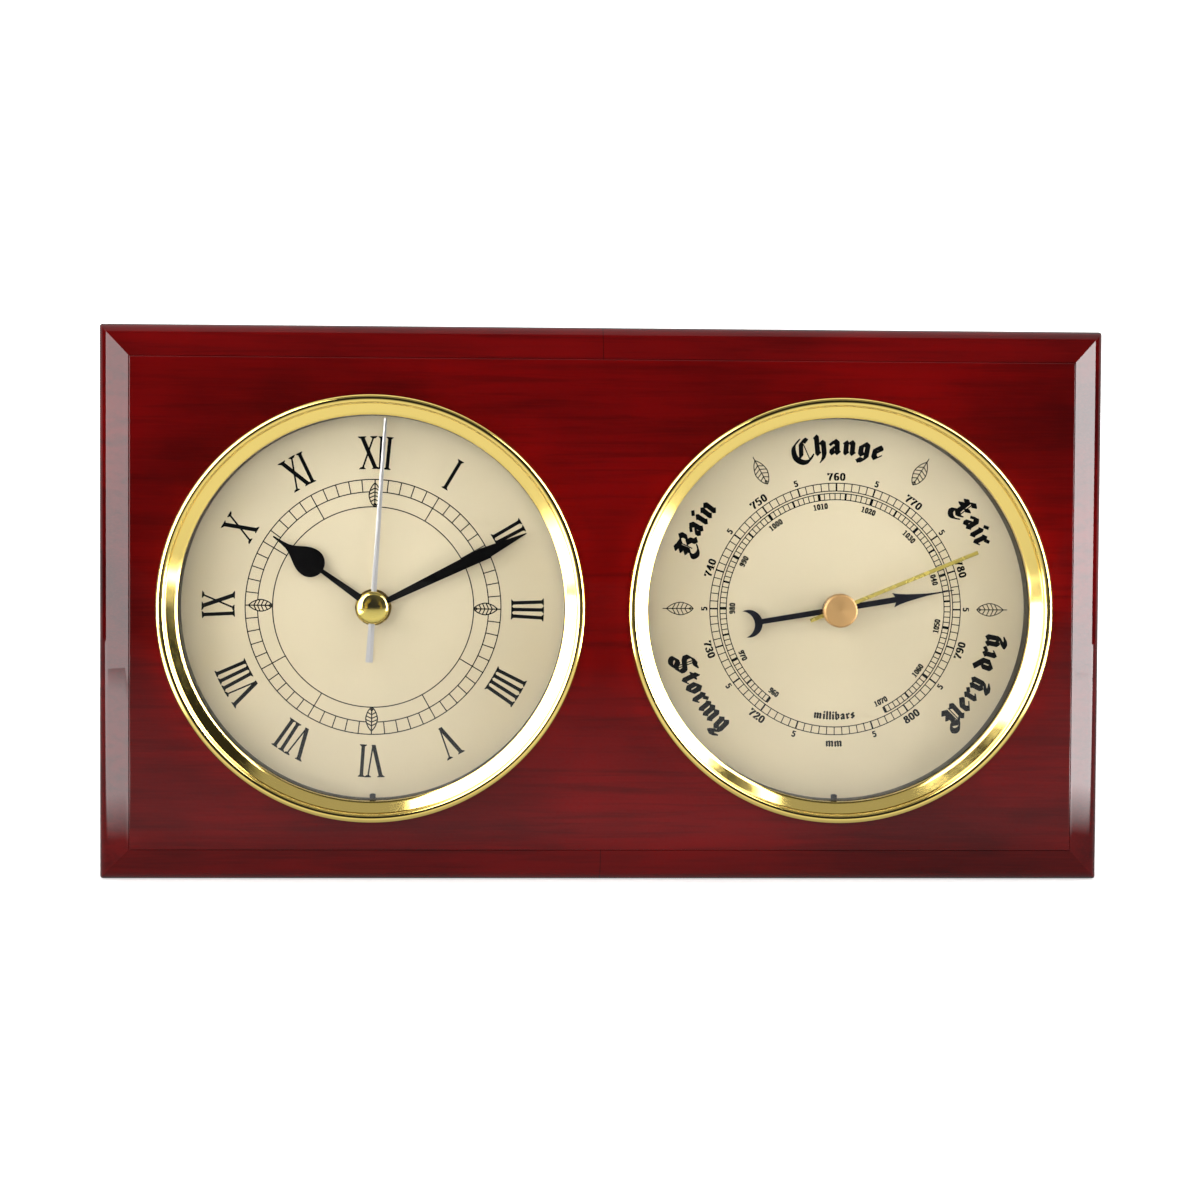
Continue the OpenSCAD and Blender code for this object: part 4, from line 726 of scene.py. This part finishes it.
LETTER_PEN = pen(36, 8, 40)
SMALL_PEN = pen(31, 9, 40)
HAIR_NIB = round_nib(7)
LETTERS = {
    "C": (140, "~58,118 24,92 14,50 24,6 62,-24 104,-22 128,6|72,104 56,14|76,108 96,118 108,106"
               "|.86,92 108,-14"),
    "R": (140, "38,108 38,22|14,118 34,110|14,84 30,76|14,50 30,42|.62,112 58,16"
               "|38,108 76,100 98,122 114,106 110,74 76,60|84,58 104,44 106,20 122,10"
               "|~36,24 16,8 14,-16 40,-32 66,-26 82,-10"),
    "F": (104, "38,112 38,26|14,112 32,104|38,112 62,132 88,120|.64,118 66,16|6,74 30,70"
               "|64,74 86,70|12,16 34,24 60,8 78,16|~10,14 8,-12 30,-30 56,-28 76,-10"),
    "S": (128, "40,118 24,104 24,76 44,64|44,64 92,52 100,34 98,14 84,4|.58,120 58,8|.72,112 72,8"
               "|40,118 66,130 84,122 104,126|84,4 60,0 36,22 14,22"
               "|~14,22 0,8 6,-14 34,-24 60,-12"),
    "V": (140, "34,124 54,112 52,30|28,84 44,76|.74,118 70,24|.88,118 82,24"
               "|104,120 120,108 112,22 122,12|8,24 34,32 62,10 96,24"
               "|~8,22 2,-2 20,-20 48,-18 62,-4"),
    "a": (84, "14,80 22,72|18,80 36,92 54,78 54,22 62,14|54,58 20,44 18,24 28,13 50,28"),
    "b": (84, "16,128 22,118 22,24 38,12 60,28 60,76 44,90 24,72"),
    "d": (84, "4,124 60,74 60,28 40,12 20,26 20,74 38,90 52,80"),
    "e": (76, "20,74 20,26 34,12 56,30|20,74 38,91 54,78 54,66 22,46"),
    "g": (86, "20,76 20,30 34,17 54,32|20,76 38,91 60,78 60,2 40,-20|40,-20 10,-12|10,-12 22,-26"),
    "h": (92, "14,128 22,118 22,24 30,14|26,72 50,90 64,78 64,8 54,-20 44,-32"),
    "i": (46, "14,86 22,78 22,22 30,14|18,124 28,114"),
    "l": (46, "14,128 22,118 22,22 30,14"),
    "m": (138, "14,86 22,78 22,22 30,14|26,72 50,90 64,78 64,22 72,14"
               "|68,72 92,90 106,78 106,22 114,14"),
    "n": (94, "14,86 22,78 22,22 30,14|26,72 50,90 64,78 64,22 72,14"),
    "o": (84, "20,76 20,26 36,12 60,28 60,74 42,91 20,76"),
    "r": (70, "14,86 22,78 22,22 32,13 40,22|26,72 46,88|46,90 56,78"),
    "s": (74, "56,78 40,91 22,78 22,64 54,42 54,26 36,12 16,26"),
    "t": (62, "28,112 28,24 38,14 50,24|10,84 46,84"),
    "y": (92, "14,86 22,78 22,26 36,13 62,28|50,92 62,80 62,14|62,14 52,-6 22,-12"
              "|22,-12 14,-24 40,-34 66,-26"),
    " ": (46, ""),
}

def glyph(strokes, nib, narrow=1.0):
    polys = []
    for part in strokes.split("|"):
        points = [tuple(float(v) for v in pair.split(",")) for pair in part.strip("~.").split()]
        points = [(x * narrow, y) for x, y in points]
        polys += stroke(curved(points) if part[0] == "~" else points,
                        HAIR_NIB if part[0] == "." else nib)
    return union(polys)

def alphabet(strokes, nib):
    return {c: (w, glyph(s, nib) if s else None) for c, (w, s) in strokes.items()}

FIGURE_SHAPES = {c: (FIGURE_W, glyph(s, FIGURE_PEN)) for c, s in FIGURES.items()}
SMALL_FIGURES = {c: (FIGURE_W * SMALL_NARROW, glyph(s, SMALL_FIGURE_PEN, SMALL_NARROW))
                 for c, s in FIGURES.items()}
LETTER_SHAPES = alphabet(LETTERS, LETTER_PEN)
SMALL_LETTERS = alphabet(LETTERS, SMALL_PEN)

def write(sheet, text, shapes, height, r, degrees, outwards, spacing=1.0):
    """Sets text round the dial, its feet on radius r, with its tops outwards or to the centre."""
    scale, way = height / 100, 1 if outwards else -1
    step = [math.degrees(shapes[c][0] * scale * spacing / r) for c in text]
    angle = degrees - way * sum(step) / 2
    for c, turn in zip(text, step):
        middle = angle + way * turn / 2
        width, shape = shapes[c]
        if shape:
            rotation = middle if outwards else middle + 180
            x, y = polar(r, middle)
            dx, dy = polar(width / 2 * scale, rotation + 90)
            sheet.stamp(shape, scale, rotation, x - dx, y - dy)
        angle += way * turn


# Barometer print

# The two scales, in mm of mercury and in millibars: radii of their lines, reading at the top,
# degrees to a unit, units in a full turn, first and last figure, and widths of their bold ticks
MM_R = (36.65, 39.06)
MM_TOP, DEG_PER_MM, MM_ROUND = 760, 3.6, 100
MM_FIRST, MM_LAST = 720, 800
MB_R = (33.95, 35.9)
MB_TOP, DEG_PER_MB = 1013.25, 2.7002
MB_FIRST, MB_LAST = 960, 1070
HAIR_MM = 0.28
MM_BOLD_MM, MB_TEN_MM, MB_FIVE_MM = 0.5, 0.85, 0.6

# Heights of the figures and radii of their feet
FIGURE_MM, FIGURE_R_MM = 2.45, 39.85
HALFWAY_MM, HALFWAY_R_MM = 1.95, 39.8
MB_FIGURE_MM, MB_FIGURE_R_MM = 1.8, 31.2

# Words: text, middle in degrees, radius of the feet, tops outwards, spacing
WORD_MM, UNIT_MM = 4.78, 2.0
HIGH_WORD_R_MM, LOW_WORD_R_MM = 47.7, 52.7
WORDS = (("Change", 0.2, HIGH_WORD_R_MM, True, 1.015), ("Rain", -60.2, HIGH_WORD_R_MM, True, 1.01),
         ("Fair", 57.8, HIGH_WORD_R_MM, True, 1.04), ("Stormy", -122.5, LOW_WORD_R_MM, False, 1.05),
         ("Very dry", 117, LOW_WORD_R_MM, False, 1.08))
UNITS = (("millibars", 180, 34.5, False, 1.06), ("mm", 180, 42.9, False, 0.98))

BARO_LEAF_MM, BARO_LEAF_W_MM = 9.4, 3.9
BARO_LEAVES = ((-90, 44.2), (-29.0, 44.2), (31.6, 45.4), (90, 44.2))  # degrees, radius of the foot

def make_baro_print():
    scale = Sheet(BARO)
    polys = ring(MM_R[0], HAIR_MM) + ring(MM_R[1], HAIR_MM)
    for i in range(MM_ROUND):
        bold = i % 5 == 0 and i != MM_ROUND / 2  # thin at the bottom, where the scale's ends meet
        polys.append(spoke(*MM_R, MM_BOLD_MM if bold else HAIR_MM, i * DEG_PER_MM))
    scale.stamp(union([hull(p) for p in polys]))
    first, last = ((mb - MB_TOP) * DEG_PER_MB for mb in (MB_FIRST, MB_LAST))
    polys = ring(MB_R[0], HAIR_MM, first, last) + ring(MB_R[1], HAIR_MM, first, last)
    for mb in range(MB_FIRST, MB_LAST + 1):
        width = MB_TEN_MM if mb % 10 == 0 else MB_FIVE_MM if mb % 5 == 0 else HAIR_MM
        polys.append(spoke(*MB_R, width, (mb - MB_TOP) * DEG_PER_MB))
    scale.stamp(union([hull(p) for p in polys]))
    scale.make("baro_scales")
    figures = Sheet(BARO)
    for mm in range(MM_FIRST, MM_LAST + 1, 10):
        number(figures, str(mm), FIGURE_SHAPES, FIGURE_MM, FIGURE_R_MM, (mm - MM_TOP) * DEG_PER_MM)
    for i in range(5, MM_ROUND, 10):
        degrees = i * DEG_PER_MM
        number(figures, "5", SMALL_FIGURES, HALFWAY_MM, HALFWAY_R_MM,
               degrees - 360 if degrees > 180 else degrees)
    for mb in range(MB_FIRST, MB_LAST + 1, 10):
        number(figures, str(mb), SMALL_FIGURES, MB_FIGURE_MM, MB_FIGURE_R_MM,
               (mb - MB_TOP) * DEG_PER_MB)
    figures.make("baro_figures")
    words = Sheet(BARO)
    for table, shapes, height in ((WORDS, LETTER_SHAPES, WORD_MM), (UNITS, SMALL_LETTERS, UNIT_MM)):
        for text, degrees, r, outwards, spacing in table:
            write(words, text, shapes, height, r, degrees, outwards, spacing)
    words.make("baro_words")
    leaves = Sheet(BARO)
    shape = leaf(BARO_LEAF_MM, BARO_LEAF_W_MM, HAIR_MM)
    for degrees, foot in BARO_LEAVES:
        leaves.stamp(shape, 1, degrees, *polar(foot, degrees))
    leaves.make("baro_leaves")

def number(sheet, text, shapes, height, r, degrees):
    """A figure on the scale: upright for the reader, so its tops turn inwards on the lower half."""
    outwards = abs(degrees) < 91
    write(sheet, text, shapes, height, r if outwards else r + height, degrees, outwards)


# Small pieces on the clock's axis

CAP_BORE_R_MM, CAP_TOP_R_MM = 0.76, 0.02
CAP_RIM_MM, CAP_CHAMFER_MM = 0.35, 0.15

def make_cap():
    """Domed brass cap over the clock's hands."""
    low, high = span("hand_cap")
    centre, r = centre_of("hand_cap"), (high.x - low.x) / 2
    z0, z1 = -high.y, -low.y
    dome = [(r * math.cos(math.radians(a)),
             z1 - (z1 - z0 - CAP_RIM_MM) * (1 - math.sin(math.radians(a))))
            for a in range(0, 90, 5)]
    profile = [(CAP_BORE_R_MM, z0), (r - CAP_CHAMFER_MM, z0), (r, z0 + CAP_CHAMFER_MM), *dome,
               (CAP_TOP_R_MM, z1)]
    verts, faces = lathe(profile, centre, CAP_STEPS, closed=False)
    piece("hand_cap_dome", verts, faces, [CAP_BRASS], "seconds", ("hand_cap",),
          TURNED_SMOOTH_DEG)

SECONDS_DEG = 3.72
SECONDS_RIDGE_MM = 0.18
SECONDS_HALF_W_MM = (1.1, 0.87, 0.45)  # at the tail, the hub and the tip
SECONDS_HUB_R_MM = 2.0

def make_seconds_hand():
    """Slim pressed hand with a ridge along its middle, so that its two halves take light apart."""
    low, high = span("seconds_hand")
    z0, z1 = -high.y, -low.y - SECONDS_RIDGE_MM
    x, y = polar(1, SECONDS_DEG)
    tail, foot, tip = SECONDS_HALF_W_MM
    reach = (high.z - CLOCK[1] - tip * abs(x)) / y
    back = (CLOCK[1] - low.z - tail * abs(x)) / y
    stations = [(-back, tail), (0, foot), (reach, tip)]
    verts, faces = [], []
    for along, w in stations:
        for side, z in ((-w, z0), (-w, z1), (0, z1 + SECONDS_RIDGE_MM), (w, z1), (w, z0)):
            verts.append(at(CLOCK, x * along + y * side, y * along - x * side, z))
    n = len(verts) // len(stations)
    for a in range(0, len(verts) - n, n):
        faces += [(a + j, a + (j + 1) % n, a + n + (j + 1) % n, a + n + j) for j in range(n)]
    faces += [tuple(range(n - 1, -1, -1)), tuple(range(len(verts) - n, len(verts)))]
    hub_verts, hub_faces = bar(CLOCK, SECONDS_HUB_R_MM, z0, z1, HUB_STEPS)
    faces += [tuple(i + len(verts) for i in face) for face in hub_faces]
    piece("seconds_hand_pressed", verts + hub_verts, faces, [SILVER], "seconds",
          ("seconds_hand",))


# Materials of the nodes that stay

def dress_nodes():
    """Each node gets the finish of its record slot, apart from the few with a look of their own."""
    own = {"set_hand": SET_BRASS, "set_knob": KNOB_BRASS,
           "clock_dial": satin_dial("clock_dial_satin", CLOCK),
           "baro_dial": satin_dial("baro_dial_satin", BARO)}
    for name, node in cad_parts.items():
        for slot in node.material_slots:
            slot.material = own.get(name) or FINISHES[slot.material.name.split(".")[0]]


# Stage: table, backdrop, wings, ceiling, soft boxes and camera

def stage_plane(name, corners, material, camera):
    """A four-cornered plane around the part; camera says if the picture shows it."""
    mesh = bpy.data.meshes.new(name)
    mesh.from_pydata(corners, [], [(0, 1, 2, 3)])
    mesh.materials.append(material)
    obj = bpy.data.objects.new(name, mesh)
    bpy.context.scene.collection.objects.link(obj)
    obj.visible_camera = camera

def level(name, half_w, front, back, z, material, camera=True):
    """A level plane."""
    stage_plane(name, [(-half_w, front, z), (half_w, front, z), (half_w, back, z),
                       (-half_w, back, z)], material, camera)

def upright(name, a, b, foot, top, material, camera=True):
    """An upright plane over the line from a to b."""
    stage_plane(name, [(*a, foot), (*b, foot), (*b, top), (*a, top)], material, camera)

def grey(tone):
    return (tone, tone, tone, 1)

WHITE, WORLD_GREY = grey(1), grey(0.03)
PAPER_LOW, PAPER_HIGH = grey(0.84), grey(0.88)

def paper(name, glow, mirrored):
    """White paper. The camera sees it shine with glow; metal, lacquer and glass see it at
    mirrored, a brightness or a function of the tree."""
    m, t, p = shader(name)
    tone = noise(t, place(t), 30, 2)
    t.links.new(blend(t, tone, PAPER_LOW, PAPER_HIGH), p.inputs["Base Color"])
    t.links.new(spread(t, tone, 0.3, 0.7, 0.85, 0.95), p.inputs["Roughness"])
    path = add(t, "LightPath")
    t.links.new(spread(t, path.outputs["Is Camera Ray"], 0, 1, 0, glow),
                p.inputs["Emission Strength"])
    p.inputs["Emission Color"].default_value = WHITE
    gleam = add(t, "Emission")
    if callable(mirrored):
        t.links.new(mirrored(t), gleam.inputs["Strength"])
    else:
        gleam.inputs["Strength"].default_value = mirrored
    through = add(t, "Math", [(0, path.outputs["Is Glossy Ray"]),
                              (1, path.outputs["Is Transmission Ray"])], operation="MAXIMUM")
    mixed = add(t, "MixShader", [(0, through.outputs[0]), (1, p.outputs[0]), (2, gleam.outputs[0])])
    t.links.new(mixed.outputs[0], t.nodes["Material Output"].inputs["Surface"])
    return m

# Where the table's brightness changes, as metal and lacquer see it: along y towards the wall, and
# along x beside the object
# The dip at the object's foot is a painted shadow; the patches beside it are painted light.
APPROACH_Y, FOOT_SHADOW_Y = (-1.1, -0.15), (-0.11, -0.03)
APPROACH_SHINE, FOOT_SHADOW_DIP = (0.1, 0.9), 0.45
LEFT_PATCH_X, RIGHT_PATCH_X = (-0.30, -0.20), (0.22, 0.34)
PATCH_FRONT_Y, PATCH_BACK_Y = (-0.4, -0.25), (-0.06, -0.03)

def lit_table(tree):
    """The table as metal and lacquer see it: dim far in front, fair near the object and dimmer at
    its foot under a painted shadow, with a hot patch of painted light on each side of it."""
    axes = add(tree, "SeparateXYZ", [("Vector", place(tree))])
    x, y = axes.outputs["X"], axes.outputs["Y"]
    def both(operation, a, b):
        return add(tree, "Math", [(0, a), (1, b)], operation=operation).outputs[0]
    middle = both("MULTIPLY", spread(tree, y, *APPROACH_Y, *APPROACH_SHINE),
                  spread(tree, y, *FOOT_SHADOW_Y, 1, FOOT_SHADOW_DIP))
    sides = both("MAXIMUM", spread(tree, x, *LEFT_PATCH_X, LEFT_SHINE, 0),
                 spread(tree, x, *RIGHT_PATCH_X, 0, RIGHT_SHINE))
    beside = both("MULTIPLY", spread(tree, y, *PATCH_BACK_Y, 1, 0),
                  spread(tree, y, *PATCH_FRONT_Y, 0, 1))
    return both("MAXIMUM", middle, both("MULTIPLY", sides, beside))

def lamp(name, place_at, aim, size, radiance):
    """A soft box of a given radiance, unseen in metal and glass."""
    data = bpy.data.lights.new(name, "AREA")
    data.shape, data.size, data.size_y = "RECTANGLE", size[0], size[1]
    data.energy = radiance * size[0] * size[1] * math.pi
    obj = bpy.data.objects.new(name, data)
    obj.location = place_at
    obj.rotation_euler = (Vector(aim) - Vector(place_at)).to_track_quat("-Z", "Y").to_euler()
    obj.visible_glossy = obj.visible_transmission = False
    bpy.context.scene.collection.objects.link(obj)

TABLE_HALF_W, TABLE_FRONT, TABLE_BACK = 1.3, -3.0, 0.8
TABLE_GLOW = 0.62
WALL_HALF_W, WALL_TOP = 1.2, 1.65
WALL_GLOW, WALL_SHINE = 0.9, 0.8
WING_FRONT_X, WING_FRONT, WING_SHINE = 1.08, 0.3, 0.55
CEILING = 1.65
CEILING_BANDS = ((-1.5, -0.95, 0.42), (-0.95, -0.35, 0.08), (-0.35, 0.8, 0.95))  # y, y and shine
BOX_SIZE = (0.5, 0.86)
BOX_X, BOX_Y, BOX_Z = 0.85, -0.385, 0.34
LEFT_LIGHT, RIGHT_LIGHT, FILL_LIGHT = 3.4, 3.8, 4.9
LEFT_SHINE, RIGHT_SHINE, CARD_SHINE = 10.3, 21.0, 8.0
FILL_PLACE, FILL_SIZE = (-0.1, -1.5, 0.15), (1.0, 0.8)
FACE_BACK_X = 0.95
CARD_BACK = (0.9, -0.25)
# Name, shine, side, y of the face's back edge, its near edge, and the near tip of its card
FACES = (("left", LEFT_SHINE, -1, -0.15, (0.68, -0.85), (0.45, -1.3, 1.6)),
         ("right", RIGHT_SHINE, 1, -0.18, (0.79, -0.56), (0.62, -0.9, 1.1)))

def make_stage():
    """White table and backdrop between two tall soft boxes with white cards over them. The lamps
    light the object, and the boxes' faces are only what metal and lacquer mirror."""
    z = -BOARD_H / 2 * MM
    level("floor", TABLE_HALF_W, TABLE_FRONT, TABLE_BACK, z,
          paper("floor_paper", TABLE_GLOW, lit_table))
    upright("backdrop", (-WALL_HALF_W, TABLE_BACK), (WALL_HALF_W, TABLE_BACK), z, WALL_TOP,
            paper("backdrop_paper", WALL_GLOW, WALL_SHINE))
    for side in (-1, 1):
        upright("wing_%d" % side, (side * WALL_HALF_W, TABLE_BACK),
                (side * WING_FRONT_X, WING_FRONT), z, WALL_TOP,
                paper("wing_paper", 0, WING_SHINE), False)
    for i, (first, last, shine) in enumerate(CEILING_BANDS):
        level("ceiling_%d" % i, WALL_HALF_W, first, last, CEILING,
              paper("ceiling_paper_%d" % i, 0, shine), False)
    top = BOX_Z + BOX_SIZE[1] / 2
    card = paper("card_paper", 0, CARD_SHINE)
    for name, shine, side, back_y, near, tip in FACES:
        back, near = (side * FACE_BACK_X, back_y), (side * near[0], near[1])
        upright(name + "_face", back, near, z, top, paper(name + "_face_cloth", 0, shine), False)
        stage_plane(name + "_card", [(*back, top), (*near, top), (side * tip[0], *tip[1:]),
                                     (side * CARD_BACK[0], CARD_BACK[1], tip[2])], card, False)
    aim = (0, 0, BOX_Z)
    lamp("left_box", (-BOX_X, BOX_Y, BOX_Z), aim, BOX_SIZE, LEFT_LIGHT)
    lamp("right_box", (BOX_X, BOX_Y, BOX_Z), aim, BOX_SIZE, RIGHT_LIGHT)
    lamp("fill", FILL_PLACE, (0, 0, 0), FILL_SIZE, FILL_LIGHT)
    world = bpy.data.worlds.new("studio")
    bpy.context.scene.world = world
    world.use_nodes = True
    t = world.node_tree
    path = add(t, "LightPath")
    t.links.new(blend(t, path.outputs["Is Camera Ray"], WORLD_GREY, WHITE),
                t.nodes["Background"].inputs["Color"])
    bpy.context.scene.view_settings.view_transform = "Standard"

CAMERA_MM = (-34.1, -828.6, 32.1)
CAMERA_TURN_DEG = (2.18, -2.35, 0.26)
FOCAL_PX = 2610.9
IMAGE_PX = 1200
SENSOR_MM = 36
CLIP = (0.05, 20)

def make_camera():
    """Camera of the photograph, from the board's corners and the bezels' outlines."""
    x, y, z = (math.radians(v) for v in CAMERA_TURN_DEG)
    turn = Matrix.Rotation(z, 3, "Z") @ Matrix.Rotation(y, 3, "Y") @ Matrix.Rotation(x, 3, "X")
    right, down, ahead = (Vector((row[0], row[2], -row[1])) for row in turn)
    data = bpy.data.cameras.new("camera")
    data.sensor_width, data.lens = SENSOR_MM, FOCAL_PX * SENSOR_MM / IMAGE_PX
    data.clip_start, data.clip_end = CLIP
    camera = bpy.data.objects.new("camera", data)
    camera.matrix_world = Matrix.Translation([v * MM for v in CAMERA_MM]) @ Matrix(
        (right, -down, -ahead)).transposed().to_4x4()
    bpy.context.scene.collection.objects.link(camera)
    bpy.context.scene.camera = camera


make_camera()
make_board()
make_bezels()
make_clock_print()
make_baro_print()
make_cap()
make_seconds_hand()
dress_nodes()
make_stage()
